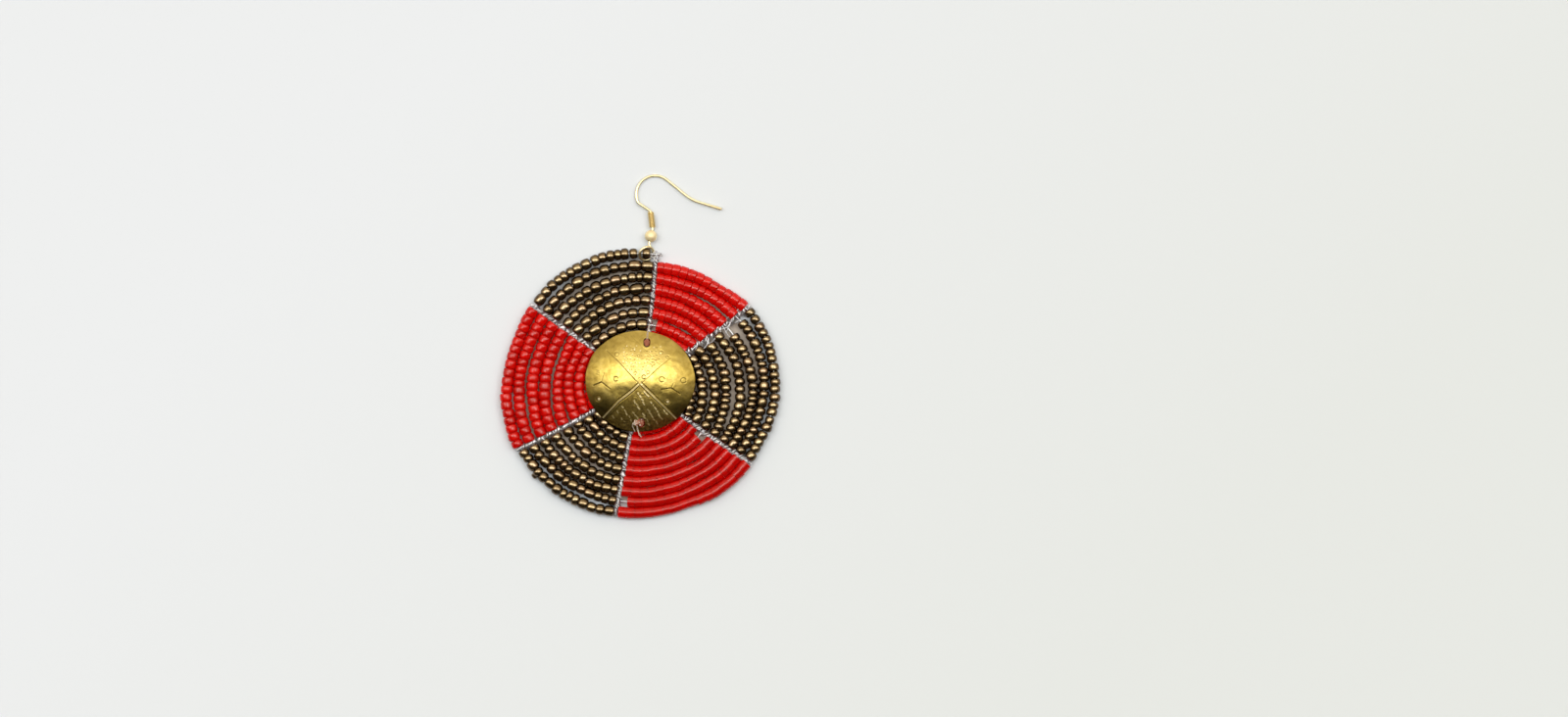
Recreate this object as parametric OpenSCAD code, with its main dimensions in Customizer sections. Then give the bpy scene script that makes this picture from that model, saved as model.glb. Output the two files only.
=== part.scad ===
// Beaded disc earring, lying face up on a table.
// Seed beads are strung on one spiral of core wire. Six spokes of fine wire are
// twisted round the core wire where the bead colour changes. A domed brass disc
// is sewn over the middle, and a ball-and-coil ear wire holds the outer strand.
// Lengths are in millimetres. X is to the right, Y is up the earring, Z is out
// of its front face.

/* [Bead strands] */
// Diameter of the outer bronze strand, which stands free of its neighbour
bronze_outer_d = 2.9; // [2.8:0.05:2.9]
// Diameter of the inner bronze strands, whose beads nest beside each other
bronze_d = 2.6; // [2.3:0.05:2.6]
// Diameter of the red strands
red_d = 2.5; // [2.2:0.05:2.5]
// Diameter of the hole through the beads
bead_hole_d = 1.0; // [0.8:0.05:1.2]
// Least run of beads that is strung, about three quarters of a bead
least_run = 1.5; // [1.2:0.1:2.5]
// Bare core wire left between a spoke and the first bead of a run
end_gap = 0.8; // [0.75:0.05:1]

/* [Wires of the disc] */
// Diameter of the core wire inside the beads
core_wire_d = 0.5; // [0.3:0.05:0.6]
// Diameter of each of a spoke's two wires
spoke_wire_d = 0.6; // [0.4:0.05:0.65]
// How far a spoke's twisted end stands out past the outer strand's centre
spoke_tip = 0.9; // [0.8:0.1:1.2]
// Diameter of the twist of wire in the middle where the spokes meet
hub_d = 2.4; // [2:0.1:2.6]
// Length of the twisted tail at the outer end of the spiral
tail_len = 1.6; // [1:0.1:2]

/* [Brass dome] */
// Width of the dome across the earring
dome_w = 28; // [26:0.2:29]
// Height of the dome up the earring
dome_h = 25.8; // [25:0.2:27]
// Rise of the dome over its rim
dome_rise = 4.4; // [3:0.1:4.6]
// Thickness of the brass sheet
dome_t = 0.6; // [0.4:0.1:0.8]
// Width of the two sewing holes
hole_w = 1.7; // [1.2:0.1:2]
// Height of the two sewing holes
hole_h = 2.4; // [2.1:0.1:2.6]

/* [Ear wire] */
// Diameter of the ear wire
hook_d = 0.65; // [0.6:0.05:0.7]
// Radius of the bend that goes through the ear
bend_r = 4.8; // [4.4:0.1:5]
// Length of the straight end of the ear wire
end_len = 6.1; // [5:0.1:7]
// Diameter of the ball
ball_d = 3.06; // [3:0.02:3.1]
// Diameter of the coil
coil_d = 1.6; // [1.5:0.05:1.7]
// Length of the coil
coil_len = 4.2; // [3.4:0.1:4.2]
// Angle at which the lying ear wire dips from the ball to the table
hook_dip = 4.4; // [4:0.1:4.4]

/* [Hidden] */

$fn = 40;

// Height of every strand's centre over the table
strand_z = 2.9 / 2;
// Place where the spokes meet, seen from the centre of the disc
hub = [0, -2.3];

// The six spokes, clockwise from the top one, which comes again at the end.
// [angle at the outer strand, angle at turn 8], degrees clockwise from the top
spokes = [
  [  7.5,  10.0],   // top
  [ 55.3,  58.0],   // upper right
  [126.5, 129.0],   // lower right
  [190.5, 190.5],   // bottom
  [241.0, 238.5],   // lower left
  [305.3, 305.0],   // upper left
  [367.5, 370.0]];  // top again

// Distance of each turn of the spiral from the centre of the disc, measured on
// each spoke and half way between two spokes. Turn 1 is the outer one.
//   turn:  1      2      3      4      5      6      7      8
turns = [
  [ 29.55, 26.80, 23.90, 20.90, 17.80, 14.80, 11.90,  9.00],  // top spoke
  [ 30.55, 27.65, 24.50, 21.50, 18.40, 15.30, 12.50,  9.80],  // red, upper
  [ 32.80, 29.55, 26.00, 22.90, 19.85, 16.80, 14.10, 11.20],  // spoke
  [ 34.30, 31.50, 28.60, 25.40, 21.80, 18.90, 15.80, 12.80],  // bronze, right
  [ 34.00, 31.15, 28.45, 25.80, 23.10, 20.20, 17.40, 14.75],  // spoke
  [ 33.20, 30.60, 28.00, 25.40, 22.80, 20.20, 17.60, 15.00],  // red, lower
  [ 33.65, 30.85, 28.20, 25.50, 22.80, 20.05, 17.40, 14.75],  // spoke
  [ 34.30, 31.40, 28.70, 25.70, 22.60, 19.70, 16.80, 14.10],  // bronze, lower
  [ 35.00, 31.90, 28.75, 25.60, 22.20, 18.90, 16.10, 13.40],  // spoke
  [ 33.70, 30.80, 27.45, 24.30, 21.00, 18.35, 15.55, 12.80],  // red, left
  [ 33.00, 29.85, 26.80, 23.75, 20.60, 17.80, 14.90, 12.00],  // spoke
  [ 33.05, 29.85, 26.80, 23.75, 20.70, 17.60, 14.60, 11.60],  // bronze, upper
  [ 32.75, 29.55, 26.80, 23.90, 20.90, 17.80, 14.80, 11.90]]; // top spoke
measured = 8;     // turns in the table
last_turn = 11;   // the turns inside the measured ones close in on the hub

// Runs that stop short of their spokes
// [sector, turn, bare wire at its start, bare wire at its end]
short_runs = [
  [0, 6, 1.75, 0.8],
  [1, 2, 1.70, 0.8],
  [1, 3, 3.20, 0.8],
  [1, 5, 1.40, 0.8],
  [1, 7, 1.30, 0.8],
  [2, 2, 0.80, 2.4],
  [2, 6, 2.00, 0.8],
  [5, 1, 0.80, 5.0]];   // makes room for the ear wire's loop

// The ear wire's path from the loop to its tip, left turns positive
// [straight length, radius of the bend after it, angle of the bend]
hook_run = [
  [3.85,    1.00,   20.0],   // through the ball
  [4.05,    0.60,   49.0],   // through the coil
  [3.15,    1.25,  -33.5],   // slant
  [0.00,    bend_r, -151.6], // bend through the ear
  [6.25,    10.0,   22.0],   // arm
  [end_len, 0,      0]];     // straight end
hook_start = [2.2, 35.25, 13];  // [x, y, heading to the right of up]
ball_at = 2.05;    // ball's centre along the first straight
loop_at = 2.55;    // loop's centre along the outer strand, from the top spoke
loop_r = 1.85;     // radius of the loop's centre line
loop_slope = [0.45, 0.58];  // fall of the loop to the right, rise upwards
loop_bead_d = 2.8; // the bead that the loop goes round
loop_bead_len = 2.04;
hook_r = hook_d / 2;

dome_at = [-0.05, 0.25];  // dome's centre
dome_z = 2.95;            // its rim lies on the beads
// Sewing holes [x, y]
dome_holes = [[1.75, 10.1], [0.3, -10.35]];

// ---- places on the spiral ----

function polar(r, a) = [r * sin(a), r * cos(a)];
function spoke_angle(i, t) = spokes[i][0] + (spokes[i][1] - spokes[i][0]) * t / (measured - 1);
function station_angle(i, t) = i % 2 == 0 ? spoke_angle(i / 2, t)
    : (spoke_angle((i - 1) / 2, t) + spoke_angle((i + 1) / 2, t)) / 2;
// a measured place: turn k from 1 to 8, station i from 0 to 12
function near(k, i) = polar(turns[i][k - 1], station_angle(i, i == 12 ? k - 2 : k - 1));
// the turns inside turn 8 shrink towards the hub, one pitch at each turn
hub_pitch = norm(near(8, 12) - hub) - norm(near(8, 0) - hub);
function turns_left(i) = norm(near(8, 0) - hub) / hub_pitch + i / 12;
function place(k, i) = k <= measured ? near(k, i)
    : hub + (near(8, i) - hub) * (1 - (k - measured) / turns_left(i));

// centre of the circle through three points
function centre3(a, b, c) = let(
    d = 2 * (a.x * (b.y - c.y) + b.x * (c.y - a.y) + c.x * (a.y - b.y)))
    [((a * a) * (b.y - c.y) + (b * b) * (c.y - a.y) + (c * c) * (a.y - b.y)) / d,
     ((a * a) * (c.x - b.x) + (b * b) * (a.x - c.x) + (c * c) * (b.x - a.x)) / d];
function bearing(v) = atan2(v.y, v.x);
// arc of turn k in sector s: [centre, radius, angle of its far end, sweep]
function arc_of(k, s) = let(
    a = place(k, 2 * s), b = place(k, 2 * s + 1), c = place(k, 2 * s + 2),
    m = centre3(a, b, c),
    sweep = ((bearing(a - m) - bearing(c - m)) % 360 + 360) % 360)
    [m, norm(a - m), bearing(c - m), sweep];
function on_arc(q, angle) = q[0] + q[1] * [cos(angle), sin(angle)];
function gap_of(s, k, side) = let(
    hit = [for (g = short_runs) if (g[0] == s && g[1] == k) g[2 + side]])
    len(hit) > 0 ? hit[0] : end_gap;
function degrees_for(len, r) = len / r * 180 / PI;

// ---- where the ear wire goes ----

function after_line(s, len) = [s.x - len * sin(s.z), s.y + len * cos(s.z), s.z];
function bend_centre(s, r, b) = let(g = sign(b)) [s.x - g * r * cos(s.z), s.y - g * r * sin(s.z)];
function after_bend(s, r, b) = b == 0 ? s : let(
    g = sign(b), c = bend_centre(s, r, b), h = s.z + b)
    [c.x + g * r * cos(h), c.y + g * r * sin(h), h];
function hook_state(i) = i == 0 ? [hook_start.x, hook_start.y, -hook_start.z]
    : after_bend(after_line(hook_state(i - 1), hook_run[i - 1][0]),
                 hook_run[i - 1][1], hook_run[i - 1][2]);
ball_xy = after_line(hook_state(0), ball_at);
// a point of the ear wire's flat plan, on the dipping ear wire
function dipped(p) = [p.x, ball_xy.y + (p.y - ball_xy.y) * cos(hook_dip),
                      ball_d / 2 - (p.y - ball_xy.y) * sin(hook_dip)];
outer_arc = arc_of(1, 5);
loop_angle = outer_arc[2] + degrees_for(loop_at, outer_arc[1]);
loop_xy = on_arc(outer_arc, loop_angle);
loop_c = [loop_xy.x, loop_xy.y, strand_z];
function on_loop(x, y) = let(p = [x, y, y * loop_slope.y - x * loop_slope.x])
    loop_c + p * loop_r / norm(p);

// ---- the row's origin: middle of the bottom of the whole earring's box ----

edge = [for (s = [0:5]) let(q = arc_of(1, s), r = s % 2 == 0 ? red_d / 2 : bronze_outer_d / 2)
        for (t = [0:60]) let(u = q[2] + q[3] * t / 60) q[0] + (q[1] + r) * [cos(u), sin(u)]];
arch = bend_centre(after_line(hook_state(3), hook_run[3][0]), bend_r, -1);
top_y = dipped([arch.x, arch.y + bend_r]).y + hook_r;
shift = [-(min([for (p = edge) p.x]) + max([for (p = edge) p.x])) / 2,
         -(min([for (p = edge) p.y]) + top_y) / 2, 0];

// ---- shapes ----

// a ring's arc: tube of outer radius r and hole radius h
module arc_tube(radius, r, h, start, sweep)
  rotate([0, 0, start])
    rotate_extrude(angle = sweep, $fn = 180)
      translate([radius, 0])
        difference() {
          circle(r = r);
          if (h > 0) circle(r = h);
        }

module rod(p, q, r) {
  d = q - p;
  translate(p)
    rotate(a = acos(d.z / norm(d)), v = [-d.y, d.x, 0])
      cylinder(h = norm(d), r = r);
}

// one run of beads: turn k in sector s
module run_of_beads(k, s, d) {
  q = arc_of(k, s);
  before = gap_of(s, k, 0);
  after = gap_of(s, k, 1);
  length = q[1] * q[3] * PI / 180 - before - after;
  if (length > least_run)
    translate([q[0].x, q[0].y, strand_z])
      arc_tube(q[1], d / 2, bead_hole_d / 2,
               q[2] + degrees_for(after, q[1]),
               q[3] - degrees_for(before + after, q[1]));
}

module sector(s, outer_d, inner_d)
  for (k = [1:last_turn]) run_of_beads(k, s, k == 1 ? outer_d : inner_d);

// the bead inside the ear wire's loop
module loop_bead()
  translate(loop_c)
    rotate([0, 0, loop_angle])
      rotate([90, 0, 0])
        difference() {
          intersection() {
            sphere(r = 1.45);
            cylinder(h = loop_bead_len, r = loop_bead_d / 2, center = true);
          }
          cylinder(h = 4, r = bead_hole_d / 2, center = true);
        }

// ---- sub-parts ----

module red_beads_upper()
  color([0.78, 0.05, 0.06]) translate(shift) sector(0, red_d, red_d);

module bronze_beads_right()
  color([0.35, 0.27, 0.13]) translate(shift) sector(1, bronze_outer_d, bronze_d);

module red_beads_lower()
  color([0.78, 0.05, 0.06]) translate(shift) sector(2, red_d, red_d);

module bronze_beads_lower()
  color([0.35, 0.27, 0.13]) translate(shift) sector(3, bronze_outer_d, bronze_d);

module red_beads_left()
  color([0.78, 0.05, 0.06]) translate(shift) sector(4, red_d, red_d);

module bronze_beads_upper()
  color([0.35, 0.27, 0.13]) translate(shift) {
    sector(5, bronze_outer_d, bronze_d);
    loop_bead();
  }

// the whole route of the core wire: its tail, then round and round from the
// outer end to the end beside the hub
function steps_of(k) = k <= measured ? 6 : 4;
function tail_tip() = near(1, 12) + [tail_len, 0.25];
core_route = concat([tail_tip()],
  [for (k = [1:last_turn], s = [5:-1:0]) let(q = arc_of(k, s), n = steps_of(k))
     for (t = [0:n - 1]) on_arc(q, q[2] + q[3] * t / n)],
  [place(last_turn, 0)]);
core_sides = 6;
module core_wire()
  color([0.66, 0.67, 0.70]) translate(shift) {
    n = len(core_route);
    m = core_sides;
    points = [for (i = [0:n - 1]) let(
        d = core_route[min(i + 1, n - 1)] - core_route[max(i - 1, 0)],
        side = [-d.y, d.x] / norm(d))
      for (j = [0:m - 1]) let(u = 360 * j / m, r = core_wire_d / 2)
        [core_route[i].x + side.x * r * cos(u), core_route[i].y + side.y * r * cos(u),
         strand_z + r * sin(u)]];
    faces = concat(
      [[for (j = [0:m - 1]) j]],
      [for (i = [0:n - 2], j = [0:m - 1]) each let(
          a = i * m + j, b = i * m + (j + 1) % m) [[a, a + m, b + m], [a, b + m, b]]],
      [[for (j = [m - 1:-1:0]) (n - 1) * m + j]]);
    polyhedron(points = points, faces = faces);
  }

// each spoke is a pair of fine wires, one over and one under every turn of the
// core wire, joined at its outer end and in the hub
module spoke_wires()
  color([0.66, 0.67, 0.70]) translate(shift) {
    lift = core_wire_d / 2 + 0.1 + spoke_wire_d / 2;
    for (i = [0:5]) {
      outer = i == 0 ? near(1, 12) : near(1, 2 * i);
      knee = near(measured, 2 * i);
      tip = outer + (outer - knee) / norm(outer - knee) * spoke_tip;
      root = hub + (knee - hub) / norm(knee - hub) * hub_d * 0.33;
      for (z = [strand_z - lift, strand_z + lift]) {
        rod([tip.x, tip.y, z], [knee.x, knee.y, z], spoke_wire_d / 2);
        translate([knee.x, knee.y, z])
          cylinder(h = spoke_wire_d + 0.04, r = spoke_wire_d / 2 + 0.03, center = true);
        rod([knee.x, knee.y, z], [root.x, root.y, z], spoke_wire_d / 2);
      }
      translate([tip.x, tip.y, strand_z])
        cylinder(h = 2 * lift + spoke_wire_d + 0.04, r = spoke_wire_d / 2 + 0.03, center = true);
    }
    translate([hub.x, hub.y, strand_z])
      cylinder(h = 2 * lift + spoke_wire_d + 0.1, r = hub_d / 2, center = true);
  }

// domed sheet: outer and inner face share one flat rim
dome_a = (dome_w + dome_h) / 4;
dome_r = (dome_a * dome_a + dome_rise * dome_rise) / (2 * dome_rise);
dome_n = 72;      // points round
dome_m = 9;       // rings
function cap_rings(r, drop) = let(
    depth = dome_r - dome_rise,
    a = sqrt(r * r - depth * depth),
    kx = dome_w / 2 / dome_a, ky = dome_h / 2 / dome_a)
    [for (j = [1:dome_m]) let(w = asin(a / r) * j / dome_m)
       for (i = [0:dome_n - 1]) let(u = 360 * i / dome_n)
         [kx * r * sin(w) * cos(u), ky * r * sin(w) * sin(u), r * cos(w) - depth]];
module domed_sheet() {
  outer = cap_rings(dome_r, 0);
  inner = cap_rings(dome_r - dome_t, 0);
  n = dome_n;
  count = len(outer);
  points = concat(outer, inner, [[0, 0, dome_rise], [0, 0, dome_rise - dome_t]]);
  faces = concat(
    [for (i = [0:n - 1]) [2 * count, (i + 1) % n, i]],
    [for (j = [0:dome_m - 2], i = [0:n - 1]) each let(
        a = j * n + i, b = j * n + (i + 1) % n) [[a, b, b + n], [a, b + n, a + n]]],
    [for (i = [0:n - 1]) [2 * count + 1, count + i, count + (i + 1) % n]],
    [for (j = [0:dome_m - 2], i = [0:n - 1]) each let(
        a = count + j * n + i, b = count + j * n + (i + 1) % n) [[a, b + n, b], [a, a + n, b + n]]],
    [for (i = [0:n - 1]) each let(
        a = (dome_m - 1) * n + i, b = (dome_m - 1) * n + (i + 1) % n)
        [[a, b, count + b], [a, count + b, count + a]]]);
  polyhedron(points = points, faces = faces);
}

module sewing_hole()
  linear_extrude(height = 12) {
    square([hole_w, hole_h - hole_w], center = true);
    for (e = [-1, 1]) translate([0, e * (hole_h - hole_w) / 2]) circle(d = hole_w);
  }

module brass_dome()
  color([0.72, 0.58, 0.22])
    translate(shift + [dome_at.x, dome_at.y, dome_z])
      difference() {
        domed_sheet();
        for (p = dome_holes) translate([p.x - dome_at.x, p.y - dome_at.y, -1]) sewing_hole();
      }

// places the flat plan of the ear wire at its dip
module dip()
  translate([0, ball_xy.y, ball_d / 2]) rotate([-hook_dip, 0, 0]) translate([0, -ball_xy.y, 0])
    children();

// places along the ear wire, [x, y, heading], a few on each bend
hook_bends = len(hook_run) - 1;
hook_route = concat([hook_state(0)],
  [for (i = [0:hook_bends - 1]) let(
      s = hook_state(i), e = after_line(s, hook_run[i][0]),
      n = ceil(abs(hook_run[i][2]) / 9))
    each concat(hook_run[i][0] > 0 ? [e] : [],
      [for (t = [1:n]) if (i < hook_bends - 1 || t < n)
         after_bend(e, hook_run[i][1], hook_run[i][2] * t / n)])],
  [after_line(hook_state(hook_bends), 0.5)]);
hook_sides = 12;
module hook_sweep() {
  n = len(hook_route);
  m = hook_sides;
  r = hook_r * 0.97;
  points = [for (s = hook_route, j = [0:m - 1]) let(u = 360 * j / m)
    [s.x + r * cos(u) * cos(s.z), s.y + r * cos(u) * sin(s.z), r * sin(u)]];
  faces = concat(
    [[for (j = [m - 1:-1:0]) j]],
    [for (i = [0:n - 2], j = [0:m - 1]) each let(
        a = i * m + j, b = i * m + (j + 1) % m) [[a, b, b + m], [a, b + m, a + m]]],
    [[for (j = [0:m - 1]) (n - 1) * m + j]]);
  polyhedron(points = points, faces = faces);
}

module ear_hook()
  color([0.86, 0.74, 0.44]) translate(shift) {
    s = hook_state(0);
    e = hook_state(hook_bends);
    dip() {
      hook_sweep();
      // straight end with a chamfered tip
      translate([e.x, e.y, 0]) rotate([0, 0, e.z]) rotate([-90, 0, 0])
        rotate_extrude()
          polygon([[0, 0], [hook_r, 0], [hook_r, end_len - 0.15], [hook_r - 0.15, end_len],
                   [0, end_len]]);
      translate([s.x, s.y, 0]) sphere(r = hook_r * 1.08);
    }
    // link from the ball down to the loop, and the loop
    rod(dipped(s), on_loop(1.05, 1.42), hook_r * 0.92);
    translate(loop_c)
      rotate(a = atan(norm(loop_slope)), v = [loop_slope.y, loop_slope.x, 0])
        rotate_extrude($fn = 72) translate([loop_r, 0]) circle(r = hook_r);
  }

module hook_coil() {
  s = hook_state(1);
  color([0.84, 0.70, 0.38]) translate(shift) dip()
    translate([s.x, s.y, 0]) rotate([0, 0, s.z]) rotate([-90, 0, 0])
      difference() {
        cylinder(h = coil_len, r = coil_d / 2);
        translate([0, 0, -1]) cylinder(h = coil_len + 2, r = 0.475);
      }
}

module hook_ball() {
  color([0.88, 0.78, 0.52]) translate(shift) dip()
    translate([ball_xy.x, ball_xy.y, 0]) rotate([0, 0, ball_xy.z]) rotate([-90, 0, 0])
      difference() {
        sphere(d = ball_d, $fn = 64);
        cylinder(h = 2 * ball_d, r = 0.45, center = true);
      }
}

red_beads_upper();
bronze_beads_right();
red_beads_lower();
bronze_beads_lower();
red_beads_left();
bronze_beads_upper();
core_wire();
spoke_wires();
brass_dome();
ear_hook();
hook_coil();
hook_ball();
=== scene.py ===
import bpy
import math
import random
import numpy as np
from mathutils import Vector, Matrix, noise


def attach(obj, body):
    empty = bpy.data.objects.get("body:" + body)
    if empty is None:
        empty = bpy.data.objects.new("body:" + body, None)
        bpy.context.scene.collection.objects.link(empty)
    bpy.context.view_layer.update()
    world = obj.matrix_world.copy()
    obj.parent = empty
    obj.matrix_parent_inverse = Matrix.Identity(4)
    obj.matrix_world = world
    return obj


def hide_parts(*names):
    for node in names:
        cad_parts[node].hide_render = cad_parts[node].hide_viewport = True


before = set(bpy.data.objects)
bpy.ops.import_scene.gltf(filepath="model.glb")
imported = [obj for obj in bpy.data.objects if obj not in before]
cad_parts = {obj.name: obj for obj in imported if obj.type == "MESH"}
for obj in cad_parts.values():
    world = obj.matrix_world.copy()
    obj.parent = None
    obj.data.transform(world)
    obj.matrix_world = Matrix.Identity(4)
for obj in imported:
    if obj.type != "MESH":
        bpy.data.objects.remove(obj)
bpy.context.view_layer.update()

MM = 0.001
# from the middle of the disc to the row's origin, in mm, as in the CAD model
SHIFT = (-0.316258, -9.19456)
STRAND_Z = 1.45


def place3(p):
    """A place in mm, seen from the middle of the disc, in the row's frame in metres."""
    return ((p[0] + SHIFT[0]) * MM, (p[1] + SHIFT[1]) * MM, p[2] * MM)


def px(u, v):
    """A place in the picture's frame of 1600 by 732, in mm from the middle of the disc."""
    return ((u - 653.5) * 0.25, (390.0 - v) * 0.25)


# ---------------------------------------------------------------- camera, stage, light

PLANE = 0.0015          # height at which one pixel is 0.25 mm
DISTANCE = 1.0
scene = bpy.context.scene
cam_data = bpy.data.cameras.new("camera")
cam_data.sensor_width = 36.0
cam_data.lens = 36.0 * DISTANCE / 0.4
cam = bpy.data.objects.new("camera", cam_data)
cx, cy = px(800, 366)
cam.location = ((cx + SHIFT[0]) * MM, (cy + SHIFT[1]) * MM, DISTANCE + PLANE)
cam.rotation_euler = (0, 0, 0)
cam_data.clip_start = 0.05
cam_data.clip_end = 20.0
scene.collection.objects.link(cam)
scene.camera = cam
scene.view_settings.view_transform = "Standard"
scene.view_settings.look = "None"
scene.view_settings.exposure = 0.0
scene.view_settings.gamma = 1.0


def node(tree, kind, **values):
    n = tree.nodes.new(kind)
    for k, v in values.items():
        if k in n.inputs:
            n.inputs[k].default_value = v
        else:
            setattr(n, k, v)
    return n


SOFT_Y = [(-1.0, 0.008), (-0.50, 0.008), (-0.34, 0.014), (-0.20, 0.05), (-0.08, 0.24), (0.04, 1.0), (0.25, 1.0),
          (0.36, 0.45), (0.48, 0.22), (0.80, 0.16), (1.0, 0.13)]
SOFT_X = [(0.0, 1.0), (0.38, 1.0), (0.55, 0.70), (0.72, 0.36), (1.0, 0.12)]
SOFT_Z = [(0.0, 1.0), (0.955, 1.0), (0.985, 0.50), (1.0, 0.45)]
GAIN = 6.4


def world_light():
    w = bpy.data.worlds.new("studio")
    scene.world = w
    w.use_nodes = True
    t = w.node_tree
    t.nodes.clear()
    link = t.links.new
    out = node(t, "ShaderNodeOutputWorld")
    bg = node(t, "ShaderNodeBackground")
    link(bg.outputs[0], out.inputs[0])
    co = node(t, "ShaderNodeTexCoord")
    sep = node(t, "ShaderNodeSeparateXYZ")
    link(co.outputs["Generated"], sep.inputs[0])
    # one broad soft light overhead, set back towards the top of the picture: its edges by y, then by x
    def stops(value, points):
        r = node(t, "ShaderNodeValToRGB")
        e = r.color_ramp.elements
        e[0].position, e[0].color = points[0][0], (points[0][1],) * 3 + (1,)
        e[1].position, e[1].color = points[-1][0], (points[-1][1],) * 3 + (1,)
        for pos, val in points[1:-1]:
            e.new(pos).color = (val, val, val, 1)
        link(value, r.inputs[0])
        return r.outputs[0]

    def maths(op, x, y=None):
        m = node(t, "ShaderNodeMath", operation=op)
        for k, v in enumerate((x, y)):
            if v is None:
                continue
            if isinstance(v, (int, float)):
                m.inputs[k].default_value = v
            else:
                link(v, m.inputs[k])
        return m.outputs[0]

    up = maths("ADD", maths("MULTIPLY", sep.outputs["Y"], 0.5), 0.5)
    by_y = stops(up, [((y + 1) / 2, v) for y, v in SOFT_Y])
    by_x = stops(maths("ABSOLUTE", sep.outputs["X"]), SOFT_X)
    # the dim place over the picture where the camera stands
    by_z = stops(sep.outputs["Z"], SOFT_Z)
    light = maths("MULTIPLY", maths("MULTIPLY", by_y, by_x), by_z)
    link(maths("MULTIPLY", light, GAIN), bg.inputs["Strength"])
    # warmer away from the middle of the light
    warm = node(t, "ShaderNodeValToRGB")
    e = warm.color_ramp.elements
    e[0].position, e[0].color = 0.0, (1.0, 0.80, 0.56, 1)
    e[1].position, e[1].color = 0.8, (1.0, 0.99, 0.965, 1)
    e.new(0.30).color = (1.0, 0.88, 0.70, 1)
    link(light, warm.inputs[0])
    link(warm.outputs[0], bg.inputs["Color"])
    return bg


world_light()


def new_material(name):
    m = bpy.data.materials.new(name)
    m.use_nodes = True
    t = m.node_tree
    t.nodes.clear()
    out = node(t, "ShaderNodeOutputMaterial")
    b = node(t, "ShaderNodeBsdfPrincipled")
    t.links.new(b.outputs[0], out.inputs[0])
    return m, t, b


def object_coords(t, scale=1.0):
    co = node(t, "ShaderNodeTexCoord")
    mp = node(t, "ShaderNodeMapping")
    mp.inputs["Scale"].default_value = (scale, scale, scale)
    t.links.new(co.outputs["Object"], mp.inputs[0])
    return mp.outputs[0]


def ramp_of(t, value, stops):
    r = node(t, "ShaderNodeValToRGB")
    e = r.color_ramp.elements
    e[0].position, e[0].color = stops[0][0], (*stops[0][1], 1)
    e[1].position, e[1].color = stops[-1][0], (*stops[-1][1], 1)
    for p, c in stops[1:-1]:
        el = e.new(p)
        el.color = (*c, 1)
    t.links.new(value, r.inputs[0])
    return r.outputs[0]


def noise_of(t, coords, scale, detail=3.0, rough=0.5, distortion=0.0):
    n = node(t, "ShaderNodeTexNoise")
    n.inputs["Scale"].default_value = scale
    n.inputs["Detail"].default_value = detail
    n.inputs["Roughness"].default_value = rough
    n.inputs["Distortion"].default_value = distortion
    t.links.new(coords, n.inputs["Vector"])
    return n.outputs["Fac"]


def map_range(t, value, a, b, c, d):
    m = node(t, "ShaderNodeMapRange")
    m.inputs["From Min"].default_value = a
    m.inputs["From Max"].default_value = b
    m.inputs["To Min"].default_value = c
    m.inputs["To Max"].default_value = d
    t.links.new(value, m.inputs["Value"])
    return m.outputs[0]


def bump(t, b, height, strength, distance):
    n = node(t, "ShaderNodeBump")
    n.inputs["Strength"].default_value = strength
    n.inputs["Distance"].default_value = distance
    t.links.new(height, n.inputs["Height"])
    t.links.new(n.outputs[0], b.inputs["Normal"])
    return n


def attribute(t, name):
    a = node(t, "ShaderNodeAttribute")
    a.attribute_name = name
    return a


def floor_material():
    m, t, b = new_material("white_table")
    sep = node(t, "ShaderNodeSeparateXYZ")
    co = node(t, "ShaderNodeTexCoord")
    t.links.new(co.outputs["Object"], sep.inputs[0])
    # painted shade: the table a little darker towards the lower right of the picture
    d = node(t, "ShaderNodeMath", operation="SUBTRACT")
    t.links.new(sep.outputs["X"], d.inputs[0])
    t.links.new(sep.outputs["Y"], d.inputs[1])
    f = map_range(t, d.outputs[0], -0.12, 0.20, 0.0, 1.0)
    col = ramp_of(t, f, [(0.0, (0.668, 0.735, 0.838)), (1.0, (0.626, 0.692, 0.752))])
    # painted shade and painted warm light: the table darkened and warmed a little beneath the beads, standing in for
    # their shade and for light that comes through the glass
    away = node(t, "ShaderNodeVectorMath", operation="DISTANCE")
    t.links.new(co.outputs["Object"], away.inputs[0])
    away.inputs[1].default_value = (SHIFT[0] * MM, SHIFT[1] * MM, 0)
    # the upper red strands end nearer to the middle than the others do
    out = node(t, "ShaderNodeVectorMath", operation="SUBTRACT")
    t.links.new(co.outputs["Object"], out.inputs[0])
    out.inputs[1].default_value = (SHIFT[0] * MM, SHIFT[1] * MM, 0)
    unit = node(t, "ShaderNodeVectorMath", operation="NORMALIZE")
    t.links.new(out.outputs["Vector"], unit.inputs[0])
    side = node(t, "ShaderNodeVectorMath", operation="DOT_PRODUCT")
    t.links.new(unit.outputs["Vector"], side.inputs[0])
    side.inputs[1].default_value = (0.515, 0.857, 0)
    reach = node(t, "ShaderNodeMath", operation="ADD")
    t.links.new(away.outputs["Value"], reach.inputs[0])
    t.links.new(map_range(t, side.outputs["Value"], 0.855, 0.895, 0.0, 0.0022), reach.inputs[1])
    under = map_range(t, reach.outputs[0], 0.0302, 0.0324, 1.0, 0.0)
    mix = node(t, "ShaderNodeMix", data_type="RGBA", blend_type="MULTIPLY")
    t.links.new(under, mix.inputs["Factor"])
    t.links.new(col, mix.inputs["A"])
    # colour of the painted shade beneath the disc
    mix.inputs["B"].default_value = (0.72, 0.58, 0.46, 1)
    t.links.new(mix.outputs["Result"], b.inputs["Base Color"])
    b.inputs["Roughness"].default_value = 0.62
    b.inputs["Specular IOR Level"].default_value = 0.25
    return m


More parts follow.
